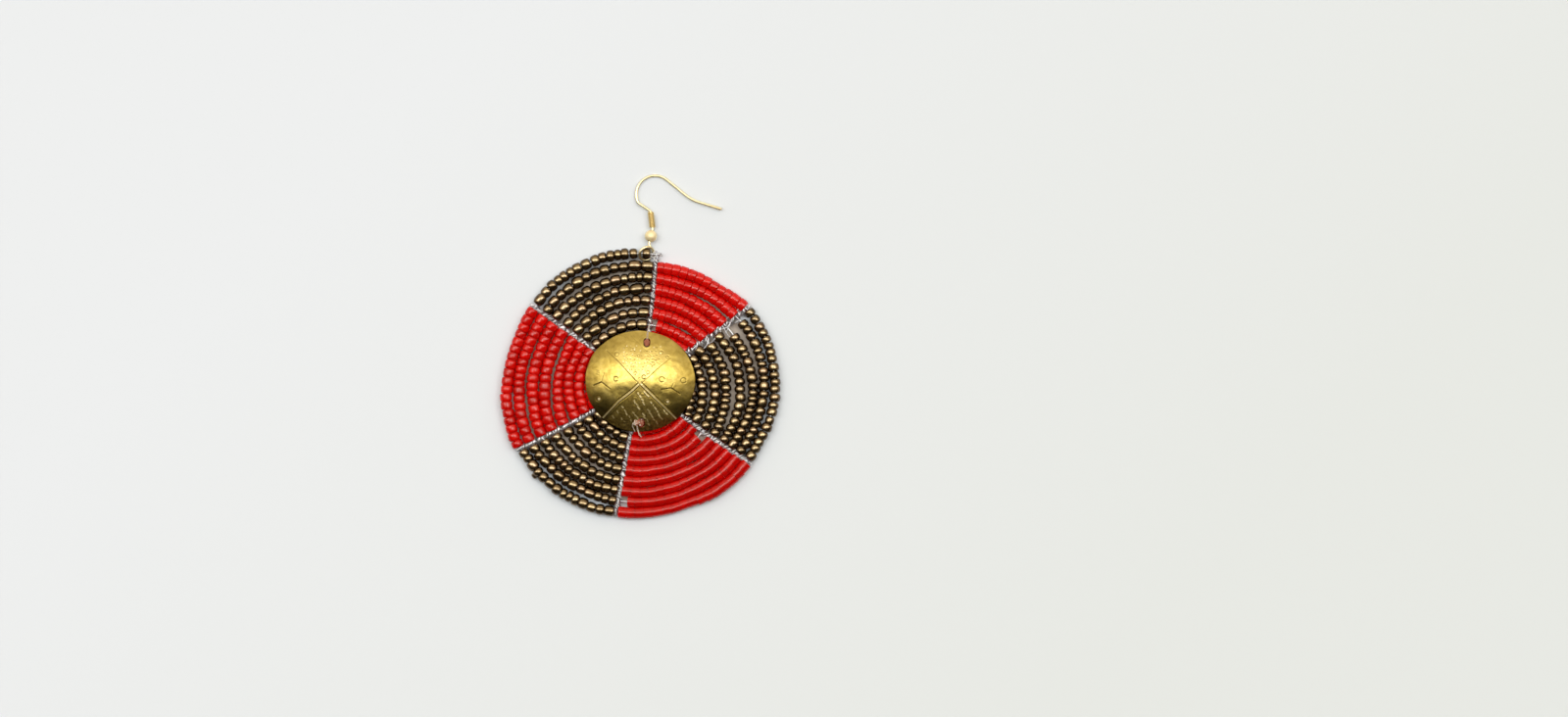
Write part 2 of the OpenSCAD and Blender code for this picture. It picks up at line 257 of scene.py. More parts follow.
floor_mesh = bpy.data.meshes.new("table_top")
s = 3.0
floor_mesh.from_pydata([(-s, -s, 0), (s, -s, 0), (s, s, 0), (-s, s, 0)], [], [(0, 1, 2, 3)])
floor = bpy.data.objects.new("table_top", floor_mesh)
floor.location = (0, 0, -0.00002)
floor_mesh.materials.append(floor_material())
scene.collection.objects.link(floor)

# ---------------------------------------------------------------- strands, as in the CAD model

SPOKES = [(7.5, 10.0), (55.3, 58.0), (126.5, 129.0), (190.5, 190.5),
          (241.0, 238.5), (305.3, 305.0), (367.5, 370.0)]
TURNS = [
    (29.55, 26.80, 23.90, 20.90, 17.80, 14.80, 11.90, 9.00),
    (30.55, 27.65, 24.50, 21.50, 18.40, 15.30, 12.50, 9.80),
    (32.80, 29.55, 26.00, 22.90, 19.85, 16.80, 14.10, 11.20),
    (34.30, 31.50, 28.60, 25.40, 21.80, 18.90, 15.80, 12.80),
    (34.00, 31.15, 28.45, 25.80, 23.10, 20.20, 17.40, 14.75),
    (33.20, 30.60, 28.00, 25.40, 22.80, 20.20, 17.60, 15.00),
    (33.65, 30.85, 28.20, 25.50, 22.80, 20.05, 17.40, 14.75),
    (34.30, 31.40, 28.70, 25.70, 22.60, 19.70, 16.80, 14.10),
    (35.00, 31.90, 28.75, 25.60, 22.20, 18.90, 16.10, 13.40),
    (33.70, 30.80, 27.45, 24.30, 21.00, 18.35, 15.55, 12.80),
    (33.00, 29.85, 26.80, 23.75, 20.60, 17.80, 14.90, 12.00),
    (33.05, 29.85, 26.80, 23.75, 20.70, 17.60, 14.60, 11.60),
    (32.75, 29.55, 26.80, 23.90, 20.90, 17.80, 14.80, 11.90)]
HUB = (0.0, -2.3)
MEASURED, LAST = 8, 11
SHORT_RUNS = {(0, 6): (1.75, 0.8), (1, 2): (1.70, 0.8), (1, 3): (3.20, 0.8), (1, 5): (1.40, 0.8),
              (1, 7): (1.30, 0.8), (2, 2): (0.80, 2.4), (2, 6): (2.00, 0.8), (5, 1): (0.80, 5.0)}


def polar(r, a):
    a = math.radians(a)
    return np.array((r * math.sin(a), r * math.cos(a)))


def spoke_angle(i, t):
    return SPOKES[i][0] + (SPOKES[i][1] - SPOKES[i][0]) * t / (MEASURED - 1)


def station_angle(i, t):
    return spoke_angle(i // 2, t) if i % 2 == 0 else (spoke_angle((i - 1) // 2, t) + spoke_angle((i + 1) // 2, t)) / 2


def near(k, i):
    return polar(TURNS[i][k - 1], station_angle(i, k - 2 if i == 12 else k - 1))


hub = np.array(HUB)
hub_pitch = np.linalg.norm(near(8, 12) - hub) - np.linalg.norm(near(8, 0) - hub)


def place(k, i):
    if k <= MEASURED:
        return near(k, i)
    left = np.linalg.norm(near(8, 0) - hub) / hub_pitch + i / 12
    return hub + (near(8, i) - hub) * (1 - (k - MEASURED) / left)


def centre3(a, b, c):
    d = 2 * (a[0] * (b[1] - c[1]) + b[0] * (c[1] - a[1]) + c[0] * (a[1] - b[1]))
    aa, bb, cc = a @ a, b @ b, c @ c
    return np.array(((aa * (b[1] - c[1]) + bb * (c[1] - a[1]) + cc * (a[1] - b[1])) / d,
                     (aa * (c[0] - b[0]) + bb * (a[0] - c[0]) + cc * (b[0] - a[0])) / d))


class Arc:
    """Turn k in sector s, run through clockwise, from its first spoke to the next."""

    def __init__(self, k, s):
        a, b, c = place(k, 2 * s), place(k, 2 * s + 1), place(k, 2 * s + 2)
        self.m = centre3(a, b, c)
        self.r = float(np.linalg.norm(a - self.m))
        self.a0 = math.atan2(*(a - self.m)[::-1])
        a1 = math.atan2(*(c - self.m)[::-1])
        self.sweep = (self.a0 - a1) % (2 * math.pi)
        self.length = self.r * self.sweep

    def at(self, d, out=0.0):
        """Place at length d along the arc, out mm outside it, and the unit tangent and outward normal."""
        u = self.a0 - d / self.r
        n = np.array((math.cos(u), math.sin(u)))
        return self.m + (self.r + out) * n, np.array((n[1], -n[0])), n

    def length_at(self, bearing):
        """Length along the arc where it is seen at that bearing from the middle, clockwise from the top."""
        ds = np.linspace(-3, self.length + 3, 600)
        ps = np.array([self.at(d)[0] for d in ds])
        b = np.unwrap(np.arctan2(ps[:, 0], ps[:, 1]))
        want = math.radians(bearing)
        b += 2 * math.pi * round((want - b.mean()) / (2 * math.pi))
        return float(np.interp(want, b, ds))


ARCS = {(k, s): Arc(k, s) for k in range(1, LAST + 1) for s in range(6)}


# how the rows wander off their arcs: small waves, and the humps that show,
# (turn, sector): [bearing, width in degrees, mm outwards]
HUMPS = {
    (1, 0): [(40, 9, -0.30), (20, 7, 0.10)], (2, 0): [(24, 8, -0.10)],
    (1, 1): [(63, 8, 0.25), (116, 9, -0.35)], (2, 1): [(66, 8, 0.25), (116, 10, -0.32)],
    (3, 1): [(70, 10, -0.16), (116, 10, -0.25)],
    (1, 2): [(139, 8, 0.50), (149, 7, 0.20)], (2, 2): [(137, 7, 0.34)], (3, 2): [(137, 7, 0.22)],
    (4, 2): [(140, 9, 0.30)], (5, 2): [(137, 7, 0.26)], (6, 2): [(146, 9, 0.22)], (7, 2): [(142, 10, 0.34)],
    (1, 3): [(203, 8, 0.50), (219, 5, 0.30), (237, 6, -0.20)], (4, 3): [(204, 8, 0.26)],
    (5, 3): [(204, 8, 0.26), (222, 8, -0.10)],
    (1, 4): [(248, 9, 0.40), (262, 6, 0.50), (290, 12, -0.42)], (2, 4): [(248, 8, 0.25), (290, 10, -0.45)],
    (3, 4): [(290, 10, -0.45)], (4, 4): [(248, 8, 0.25), (290, 10, -0.36)], (5, 4): [(248, 8, 0.18), (290, 10, -0.40)],
    (6, 4): [(293, 9, -0.38)],
    (1, 5): [(320, 9, 0.20), (340, 6, 0.15)], (2, 5): [(320, 10, 0.25), (338, 7, 0.25)],
    (3, 5): [(312, 7, 0.32), (336, 9, -0.16)], (5, 5): [(325, 8, 0.15)]}
BRONZE_SECTORS = (1, 3, 5)


def make_drift():
    out = {}
    for (k, s), arc in ARCS.items():
        r = random.Random(1000 + 17 * k + s)
        amp = 0.085 if s in BRONZE_SECTORS else 0.05
        waves = [(amp * r.uniform(0.4, 1.0), f, r.uniform(0, 2 * math.pi)) for f in (1.1, 2.3, 3.7)]
        humps = [(arc.length_at(b), math.radians(w) * 30.0, h) for b, w, h in HUMPS.get((k, s), [])]
        out[(k, s)] = (waves, humps)
    return out


DRIFT = make_drift()


def drift(k, s, d):
    arc = ARCS[(k, s)]
    f = min(1.0, max(0.0, d / arc.length))
    waves, humps = DRIFT[(k, s)]
    v = sum(a * math.sin(2 * math.pi * q * f + ph) for a, q, ph in waves) * math.sin(math.pi * f) ** 0.5
    for at, w, h in humps:
        v += h * math.exp(-((d - at) / w) ** 2)
    return v


def pitch_round(k, s, p, n):
    """Distance from a place on turn k to the turns outside and inside it."""
    out = []
    for j in (k - 1, k + 1):
        a = ARCS.get((j, s))
        if a:
            v = p - a.m
            u = math.atan2(v[1], v[0])
            d = ((a.a0 - u) % (2 * math.pi)) * a.r
            if d > a.length + 10:
                d -= 2 * math.pi * a.r
            out.append(abs(float(np.linalg.norm(v)) - a.r - drift(j, s, d)))
    return min(out) if out else 9.0


# beads counted in the picture on each turn, outer turn first
COUNTS = {0: [12, 12, 11, 11, 9, 7, 6], 1: [21, 19, 17, 15, 14, 11, 9, 9],
          2: [16, 16, 14, 13, 12, 11, 10, 8], 3: [14, 12, 12, 10, 8, 8, 6],
          4: [18, 17, 15, 13, 12, 10, 8], 5: [14, 12, 12, 10, 9, 7, 6]}
# bearings of the outer beads where they stand free and can be told apart
SEEN = {
    (1, 1): [57.7, 61.4, 65.2, 68.3, 71.3, 74.2, 77.1, 80, 83.7, 87, 90, 93, 96.6, 100, 103, 106.6, 109.8,
             113.6, 117, 120, 123.7],
    (5, 1): [309.4, 313.7, 317.5, 321.2, 324.2, 327.5, 331, 335.2, 339.6, 343.1, 346.6, 349.9, 353, 356.9]}

# ---------------------------------------------------------------- mesh helpers


def link_mesh(name, verts, faces, smooth=True, attributes=None):
    """verts in mm seen from the middle of the disc, an (n, 3) array."""
    me = bpy.data.meshes.new(name)
    v = np.asarray(verts, float).copy()
    v[:, 0] += SHIFT[0]
    v[:, 1] += SHIFT[1]
    v *= MM
    faces = np.asarray(faces)
    nf, k = faces.shape
    me.vertices.add(len(v))
    me.vertices.foreach_set("co", v.astype(np.float32).ravel())
    me.loops.add(nf * k)
    me.loops.foreach_set("vertex_index", faces.astype(np.int32).ravel())
    me.polygons.add(nf)
    me.polygons.foreach_set("loop_start", np.arange(0, nf * k, k, dtype=np.int32))
    me.update(calc_edges=True)
    me.polygons.foreach_set("use_smooth", np.full(nf, smooth))
    for key, values in (attributes or {}).items():
        a = me.attributes.new(key, "FLOAT", "POINT")
        a.data.foreach_set("value", np.asarray(values, np.float32))
    me.validate()
    o = bpy.data.objects.new(name, me)
    scene.collection.objects.link(o)
    return o


def finish_piece(o, material, slot, *nodes):
    o.data.materials.append(material)
    if nodes:
        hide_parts(*nodes)
    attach(o, "root")
    return o


def ring_faces(rings, sides, base=0, closed_rings=False):
    """Quads between successive rings of a swept or revolved surface."""
    i = np.arange(rings if closed_rings else rings - 1)[:, None]
    j = np.arange(sides)[None, :]
    a = i * sides + j
    b = i * sides + (j + 1) % sides
    c = ((i + 1) % rings) * sides + (j + 1) % sides
    d = ((i + 1) % rings) * sides + j
    return (np.stack([a, b, c, d], -1).reshape(-1, 4)) + base


def tube(path, radius, sides=10, closed=False, flat=None):
    """Swept tube with parallel frames. radius is a number or one for each point. flat is (width, thickness)
    factors for each point."""
    p = np.asarray(path, float)
    n = len(p)
    r = np.broadcast_to(np.asarray(radius, float), (n,))
    if closed:
        t = np.roll(p, -1, 0) - np.roll(p, 1, 0)
    else:
        t = np.gradient(p, axis=0)
    t /= np.linalg.norm(t, axis=1)[:, None] + 1e-12
    up = np.array((0.0, 0.0, 1.0))
    if abs(t[0] @ up) > 0.95:
        up = np.array((1.0, 0.0, 0.0))
    side = np.cross(t[0], up)
    side /= np.linalg.norm(side)
    frames = []
    for i in range(n):
        side = side - (side @ t[i]) * t[i]
        side /= np.linalg.norm(side) + 1e-12
        frames.append((side, np.cross(side, t[i])))
    u = np.linspace(0, 2 * math.pi, sides, endpoint=False)
    verts = []
    for i in range(n):
        f = (1, 1) if flat is None else flat[i]
        verts.append(p[i] + r[i] * (np.cos(u)[:, None] * frames[i][0] * f[0] + np.sin(u)[:, None] * frames[i][1] * f[1]))
    verts = np.concatenate(verts)
    faces = ring_faces(n, sides, closed_rings=closed)
    if not closed:
        verts = np.concatenate([verts, p[:1], p[-1:]])
        a, b = n * sides, n * sides + 1
        j = np.arange(sides)
        caps = np.concatenate([
            np.stack([np.full(sides, a), (j + 1) % sides, j, j], -1),
            np.stack([np.full(sides, b), (n - 1) * sides + j, (n - 1) * sides + (j + 1) % sides,
                      (n - 1) * sides + (j + 1) % sides], -1)])
        return verts, faces, caps
    return verts, faces, np.zeros((0, 4), int)


def join(parts):
    """Joins (verts, quads, caps) meshes. The caps are triangles written with their last corner twice."""
    vs, fs, cs, base = [], [], [], 0
    for v, f, c in parts:
        vs.append(v)
        fs.append(f + base)
        cs.append(c + base)
        base += len(v)
    return np.concatenate(vs), np.concatenate(fs), np.concatenate(cs)


def link_tubes(name, parts, attributes=None):
    """One object from joined tubes, with proper triangles for the caps."""
    v, f, c = join(parts)
    me = bpy.data.meshes.new(name)
    w = v.copy()
    w[:, 0] += SHIFT[0]
    w[:, 1] += SHIFT[1]
    w *= MM
    tris = c[:, :3]
    me.vertices.add(len(w))
    me.vertices.foreach_set("co", w.astype(np.float32).ravel())
    loops = np.concatenate([f.ravel(), tris.ravel()])
    me.loops.add(len(loops))
    me.loops.foreach_set("vertex_index", loops.astype(np.int32))
    starts = np.concatenate([np.arange(len(f)) * 4, len(f) * 4 + np.arange(len(tris)) * 3])
    me.polygons.add(len(starts))
    me.polygons.foreach_set("loop_start", starts.astype(np.int32))
    me.update(calc_edges=True)
    me.polygons.foreach_set("use_smooth", np.full(len(starts), True))
    for key, values in (attributes or {}).items():
        a = me.attributes.new(key, "FLOAT", "POINT")
        a.data.foreach_set("value", np.asarray(values, np.float32))
    me.validate()
    o = bpy.data.objects.new(name, me)
    scene.collection.objects.link(o)
    return o


# ---------------------------------------------------------------- beads


def bead_profile(length, radius, hole, side, power, fine=True):
    """Outline of half a bead's section, [along, out], run round from one end of the hole to the other. side is
    the radius at which its flat end turns over, power is 2 for an ellipse and more for a squarer bead."""
    h = length / 2
    lip = 0.16
    side = max(side, hole + lip * 0.8)
    pts = [(-h * 0.35, hole), (-(h - lip), hole), (-h + 0.03, hole + lip * 0.65)]
    n = 9 if fine else 4
    for i in range(n):
        a = math.pi / 2 * (i + 0.12) / (n + 0.12)
        pts.append((-h * math.cos(a) ** (2 / power), side + (radius - side) * math.sin(a) ** (2 / power)))
    mirrored = [(-x, r) for x, r in reversed(pts)]
    return np.array(pts + [(0.0, radius)] + mirrored)


def bead(rng, at, tangent, normal, length, diameter, side, slant=0.05, tilt=4.0, fine=True, hole=0.5, power=2.3):
    sides = 20 if fine else 12
    prof = bead_profile(length, diameter / 2, hole, side * diameter / 2, power, fine)
    u = np.linspace(0, 2 * math.pi, sides, endpoint=False) + rng.random() * 0.3
    along = prof[:, 0][:, None] * np.ones(sides)
    # ends cut a little askew, body a little oval
    s1, s2 = rng.uniform(-slant, slant), rng.uniform(-slant, slant)
    k = (prof[:, 0] / (length / 2))[:, None]
    oval = 1 + rng.uniform(-0.015, 0.015) * np.cos(2 * u)[None, :]
    r = prof[:, 1][:, None] * oval
    along = along + r * (s1 * np.cos(u)[None, :] + s2 * np.sin(u)[None, :]) * np.abs(k)
    t = np.array((tangent[0], tangent[1], 0.0))
    n = np.array((normal[0], normal[1], 0.0))
    ty, tz = math.radians(rng.gauss(0, tilt)), math.radians(rng.gauss(0, tilt * 0.8))
    t2 = t + n * math.tan(ty) + np.array((0, 0, math.tan(tz)))
    t2 /= np.linalg.norm(t2)
    n2 = n - (n @ t2) * t2
    n2 /= np.linalg.norm(n2)
    b2 = np.cross(t2, n2)
    at = np.asarray(at, float)
    v = (at + along[..., None] * t2 + r[..., None] * (np.cos(u)[None, :, None] * n2 + np.sin(u)[None, :, None] * b2))
    m = len(prof)
    return v.reshape(-1, 3), ring_faces(m, sides, closed_rings=True)[:, ::-1]


def run_lengths(rng, n, length, spread):
    w = np.array([min(1.35, max(0.78, rng.gauss(1.0, spread))) for _ in range(n)])
    return w / w.sum() * length


def strand_beads(seed, s, colour):
    """All the beads of one sector, as one joined mesh."""
    rng = random.Random(seed)
    verts, faces, tone, base = [], [], [], 0
    bronze = colour == "bronze"
    for k in range(1, LAST + 1):
        arc = ARCS[(k, s)]
        before, after = SHORT_RUNS.get((s, k), (0.8, 0.8))
        before = 0.5 if before == 0.8 else before
        after = 0.5 if after == 0.8 else after
        length = arc.length - before - after
        if length < 1.5:
            continue
        counts = COUNTS[s]
        n = counts[k - 1] if k <= len(counts) else max(1, round(length / 2.25))
        if (s, k) in SEEN:
            mids = [arc.length_at(b) for b in SEEN[(s, k)]]
            edges = [before] + [(a + b) / 2 for a, b in zip(mids, mids[1:])] + [arc.length - after]
            lens = np.diff(edges)
            lens = np.clip(lens, 1.3, 3.0)
        else:
            n = max(1, min(n, int(length / 1.55)))
            lens = run_lengths(rng, n, length, 0.15 if bronze else 0.09)
            edges = before + np.concatenate([[0], np.cumsum(lens)])
            mids = [(a + b) / 2 for a, b in zip(edges, edges[1:])]
        hidden = k > 8
        for i, (d, ln) in enumerate(zip(mids, lens)):
            p, t, nn = arc.at(d, drift(k, s, d))
            room = pitch_round(k, s, p, nn)
            if bronze:
                want = 2.85 + rng.gauss(0, 0.12) + 0.05 * (ln - 2.2)
                side, power = rng.uniform(0.46, 0.60), rng.uniform(2.1, 2.6)
                gap = rng.uniform(-0.02, 0.05)
                dia = min(want, room + 0.08, 3.12)
            else:
                want = 3.12 + rng.gauss(0, 0.05)
                if s == 4:
                    side, power = rng.uniform(0.60, 0.70), rng.uniform(2.5, 3.1)
                elif s == 0:
                    side, power = rng.uniform(0.72, 0.82), rng.uniform(3.0, 3.8)
                else:
                    side, power = rng.uniform(0.93, 0.97), rng.uniform(5.5, 7.0)
                gap = rng.uniform(-0.09, -0.04)
                dia = min(want, room + 0.12, 3.20)
            out = rng.gauss(0, 0.04 if bronze or s == 4 else 0.02)
            z = STRAND_Z + rng.gauss(0, 0.05)
            z = max(z, dia / 2 + 0.005)
            p3 = np.array((*(p + nn * out), z))
            v, f = bead(rng, p3, t, nn, ln - gap, dia, side, slant=0.045 if bronze else 0.02,
                        tilt=3.2 if bronze else 1.6 if s == 4 else 1.0, fine=not hidden, power=power)
            # beads of the outer turn stay over the table
            low = v[:, 2].min()
            if low < 0.0:
                v[:, 2] -= low
            verts.append(v)
            faces.append(f + base)
            shade = rng.random()
            # painted light and shade: beads of the lower red sector darker, those of the upper red sector lighter;
            # within a sector the tone differs at random
            if s == 2:
                shade *= 0.45
            elif s == 0:
                shade = 0.5 + 0.5 * shade
            tone.append(np.full(len(v), shade))
            base += len(v)
    return verts, faces, tone, base, rng


def seed_bead_piece(name, seed, s, colour, extra=None):
    verts, faces, tone, base, rng = strand_beads(seed, s, colour)
    for v, f in (extra(rng) if extra else []):
        verts.append(v)
        faces.append(f + base)
        tone.append(np.full(len(v), rng.random()))
        base += len(v)
    # how far up each place lies on its bead
    up = [(v[:, 2] - v[:, 2].min()) / max(1e-6, float(np.ptp(v[:, 2]))) * 2 - 1 for v in verts]
    return link_mesh(name, np.concatenate(verts), np.concatenate(faces),
                     attributes={"tone": np.concatenate(tone), "up": np.concatenate(up)})


def red_glass():
    m, t, b = new_material("red_glass")
    tone = attribute(t, "tone").outputs["Fac"]
    n1 = noise_of(t, object_coords(t), 420.0, 2.0)
    mixed = node(t, "ShaderNodeMath", operation="MULTIPLY_ADD")
    t.links.new(n1, mixed.inputs[0])
    mixed.inputs[1].default_value = 0.25
    half = map_range(t, tone, 0, 1, -0.08, 0.78)
    t.links.new(half, mixed.inputs[2])
    col = ramp_of(t, mixed.outputs[0], [(0.0, (0.38, 0.0010, 0.0005)), (0.45, (0.46, 0.0014, 0.0008)),
                                        (1.0, (0.56, 0.0030, 0.0016))])
    t.links.new(col, b.inputs["Base Color"])
    b.inputs["Roughness"].default_value = 0.09
    b.inputs["IOR"].default_value = 1.50
    b.inputs["Specular IOR Level"].default_value = 0.42
    b.inputs["Subsurface Weight"].default_value = 0.9
    b.inputs["Subsurface Radius"].default_value = (1.0, 0.06, 0.04)
    b.inputs["Subsurface Scale"].default_value = 0.0016
    # painted glow: a faint red emission standing in for light that has passed through the glass
    b.inputs["Emission Color"].default_value = (1.0, 0.012, 0.006, 1)
    b.inputs["Emission Strength"].default_value = 0.035
    bump(t, b, noise_of(t, object_coords(t), 900.0, 2.0), 0.14, 0.0002)
    return m


def bronze_glass():
    m, t, b = new_material("bronze_lustre_glass")
    tone = attribute(t, "tone").outputs["Fac"]
    col = ramp_of(t, tone, [(0.0, (0.165, 0.118, 0.058)), (0.35, (0.205, 0.152, 0.080)), (0.7, (0.245, 0.188, 0.100)),
                            (0.9, (0.240, 0.168, 0.100)), (1.0, (0.290, 0.232, 0.135))])
    n1 = noise_of(t, object_coords(t), 700.0, 3.0)
    dark = node(t, "ShaderNodeMix", data_type="RGBA", blend_type="MULTIPLY")
    dark.inputs["Factor"].default_value = 1.0
    t.links.new(col, dark.inputs["A"])
    shade = ramp_of(t, n1, [(0.25, (0.62, 0.60, 0.60)), (0.55, (1.0, 1.0, 1.0))])
    t.links.new(shade, dark.inputs["B"])
    # painted shade and painted highlight: each bead darker low down and at its sides, lighter than its own colour at
    # its top, as the light falls
    sides = node(t, "ShaderNodeMix", data_type="RGBA", blend_type="MULTIPLY")
    sides.inputs["Factor"].default_value = 1.0
    t.links.new(dark.outputs["Result"], sides.inputs["A"])
    painted_light_by_height = ramp_of(t, attribute(t, "up").outputs["Fac"], [(0.0, (0.22, 0.13, 0.06)), (0.50, (0.34, 0.22, 0.12)),
                                                         (0.78, (0.85, 0.76, 0.66)), (0.90, (1.25, 1.25, 1.25))])
    t.links.new(painted_light_by_height, sides.inputs["B"])
    t.links.new(sides.outputs["Result"], b.inputs["Base Color"])
    b.inputs["Metallic"].default_value = 1.0
    rough = map_range(t, n1, 0.3, 0.75, 0.16, 0.28)
    t.links.new(rough, b.inputs["Roughness"])
    b.inputs["Coat Weight"].default_value = 0.6
    b.inputs["Coat Roughness"].default_value = 0.10
    bump(t, b, noise_of(t, object_coords(t), 750.0, 2.0), 0.30, 0.0002)
    return m


RED, BRONZE = red_glass(), bronze_glass()

LOOP_AT = 2.55
loop_arc = ARCS[(1, 5)]
loop_p, loop_t, loop_n = loop_arc.at(loop_arc.length - LOOP_AT)
LOOP_C = np.array((loop_p[0], loop_p[1], STRAND_Z))


def loop_bead(rng):
    return [bead(rng, LOOP_C, loop_t, loop_n, 2.04, 2.78, 0.55, slant=0.02, tilt=1.0)]


def stray_bead(rng):
    # one small bead that has slipped out between its neighbours
    arc = ARCS[(1, 3)]
    p, t, n = arc.at(arc.length_at(228.5), 1.15)
    v, f = bead(rng, (p[0], p[1], 1.02), t, n, 1.5, 1.95, 0.55, slant=0.05, tilt=9.0, hole=0.4)
    v[:, 2] -= min(0.0, v[:, 2].min())
    return [(v, f)]


SECTORS = [("red_beads_upper", 0, "red", None), ("bronze_beads_right", 1, "bronze", None),
           ("red_beads_lower", 2, "red", None), ("bronze_beads_lower", 3, "bronze", stray_bead),
           ("red_beads_left", 4, "red", None), ("bronze_beads_upper", 5, "bronze", loop_bead)]
for name, s, colour, extra in SECTORS:
    o = seed_bead_piece("beads_" + name, 40 + s, s, colour, extra)
    finish_piece(o, RED if colour == "red" else BRONZE, "red_beads" if colour == "red" else "bronze_beads", name)

# ---------------------------------------------------------------- wires of the disc


def wire_metal(name, colour, rough, darker, scale=500.0, metallic=1.0):
    m, t, b = new_material(name)
    n1 = noise_of(t, object_coords(t), scale, 3.0, 0.6)
    col = ramp_of(t, n1, [(0.3, darker), (0.6, colour)])
    t.links.new(col, b.inputs["Base Color"])
    b.inputs["Metallic"].default_value = metallic
    t.links.new(map_range(t, n1, 0.3, 0.7, rough + 0.12, rough), b.inputs["Roughness"])
    bump(t, b, noise_of(t, object_coords(t), scale * 3, 2.0), 0.15, 0.00008)
    return m


SILVER = wire_metal("silver_wire", (0.74, 0.77, 0.82), 0.32, (0.46, 0.48, 0.53))

# core wire: the tail, then round and round to the hub
route = []
for k in range(1, LAST + 1):
    for s in range(5, -1, -1):
        arc = ARCS[(k, s)]
        n = max(5, int(arc.length / 1.2))
        for i in range(n):
            d = arc.length * (1 - i / n)
            p, _, _ = arc.at(d, drift(k, s, d))
            route.append((p[0], p[1], STRAND_Z))
end = place(LAST, 0)
route.append((end[0], end[1], STRAND_Z))
first = near(1, 12)
route = [(first[0] + 1.3, first[1] + 0.25, STRAND_Z)] + route
core = link_tubes("core_wire_spiral", [tube(route, 0.25, 8)])
finish_piece(core, SILVER, "silver_wire", "core_wire")


def spoke_path(i, beyond, steps=14):
    """Places along spoke i from beyond its outer end to the hub, with the count of rows passed."""
    rows = [near(1, 12) if i == 0 else near(1, 2 * i)]
    if i == 0:
        rows += [near(k, 0) for k in range(1, MEASURED + 1)]
    else:
        rows += [near(k, 2 * i) for k in range(2, MEASURED + 1)]
    for k in range(MEASURED + 1, LAST + 1):
        rows.append(place(k, 2 * i))
    rows = [np.array(r) for r in rows]
    out = rows[0] - rows[1]
    out /= np.linalg.norm(out)
    pts, turns = [], []
    n = 8
    for j in range(n):
        f = 1 - j / n
        pts.append(rows[0] + out * beyond * f)
        turns.append(-f * beyond / 2.9)
    for a in range(len(rows) - 1):
        for j in range(steps):
            f = j / steps
            pts.append(rows[a] * (1 - f) + rows[a + 1] * f)
            turns.append(a + f)
    pts.append(rows[-1])
    turns.append(len(rows) - 1)
    return np.array(pts), np.array(turns)


def twisted_spoke(rng, i, beyond, reach, wobble, turns_per_row, strands, wire=0.145, lift=0.58):
    """Fine wires that cross from side to side and over and under the core wire, more or less evenly."""
    pts, rows = spoke_path(i, beyond)
    t = np.gradient(pts, axis=0)
    t /= np.linalg.norm(t, axis=1)[:, None]
    side = np.stack([t[:, 1], -t[:, 0]], -1)
    parts = []
    for q in range(strands):
        ph = [rng.uniform(0, 2 * math.pi) for _ in range(5)]
        rate = turns_per_row * rng.uniform(0.93, 1.07)
        a = 2 * math.pi * rows * rate / 2 + 2 * math.pi * q / strands + wobble * (
            0.9 * np.sin(rows * 1.9 + ph[0]) + 0.5 * np.sin(rows * 4.7 + ph[1]))
        amp = reach * (1 + wobble * (0.35 * np.sin(rows * 1.3 + ph[2]) + 0.30 * np.sin(rows * 3.9 + ph[3])))
        high = lift * (1 + 0.10 * np.sin(rows * 2.7 + ph[4]))
        fade = np.clip((rows + beyond / 2.9) * 1.6, 0.3, 1)
        x = amp * np.cos(a) * fade
        z = high * np.sin(a) * fade
        p3 = np.stack([pts[:, 0] + side[:, 0] * x, pts[:, 1] + side[:, 1] * x, STRAND_Z + z], -1)
        parts.append(tube(p3, wire * rng.uniform(0.9, 1.1), 8))
    return parts


def smooth_path(points, steps=8):
    """Catmull-Rom curve through the points."""
    p = np.array(points, float)
    q = np.concatenate([[2 * p[0] - p[1]], p, [2 * p[-1] - p[-2]]])
    out = []
    for i in range(1, len(q) - 2):
        for j in range(steps):
            f = j / steps
            out.append(0.5 * (2 * q[i] + (q[i + 1] - q[i - 1]) * f
                              + (2 * q[i - 1] - 5 * q[i] + 4 * q[i + 1] - q[i + 2]) * f * f
                              + (3 * q[i] - q[i - 1] - 3 * q[i + 1] + q[i + 2]) * f ** 3))
    out.append(q[-2])
    return np.array(out)


def seen(u, v, z):
    """A place in the picture's frame at height z, as the camera sees it."""
    x, y = px(u, v)
    return (x, y, z)


rng = random.Random(7)
SPOKE_LOOK = [  # reach to each side, irregularity, half turns for each row, strands, length beyond the outer strand
    (0.66, 0.60, 2.1, 5, 0.4), (0.90, 1.00, 1.5, 5, 1.3), (0.74, 0.60, 2.0, 5, 1.3),
    (0.72, 0.60, 2.2, 5, 0.9), (0.74, 0.25, 2.7, 5, 1.1), (0.76, 0.65, 1.9, 5, 1.4)]
parts = []
for i, look in enumerate(SPOKE_LOOK):
    parts += twisted_spoke(rng, i, look[4], look[0], look[1], look[2], look[3])
# curls at the top end of the wires
for pts in (
        [seen(663.6, 265, 1.9), seen(665.5, 260.5, 2.1), seen(668.6, 256.9, 2.0), seen(670.4, 257.2, 1.6), seen(669.6, 260.4, 1.3),
         seen(671.6, 262.3, 1.5), seen(674.2, 260.6, 1.8), seen(675.9, 261.4, 1.6)],
        [seen(666.8, 261, 1.5), seen(667.3, 264, 1.9), seen(669.2, 267.9, 1.5), seen(667.6, 271.5, 1.2)],
        [seen(661.8, 262.6, 1.45), seen(664.4, 262.2, 2.0), seen(667.4, 262.9, 2.1), seen(670.8, 259.4, 1.7), seen(672.6, 257.5, 1.5)],
        [seen(664.2, 268, 2.1), seen(667.2, 265.6, 2.2), seen(668.9, 262.4, 1.9), seen(671.4, 264.4, 1.6)]):
    parts.append(tube(smooth_path(pts), 0.105, 8))
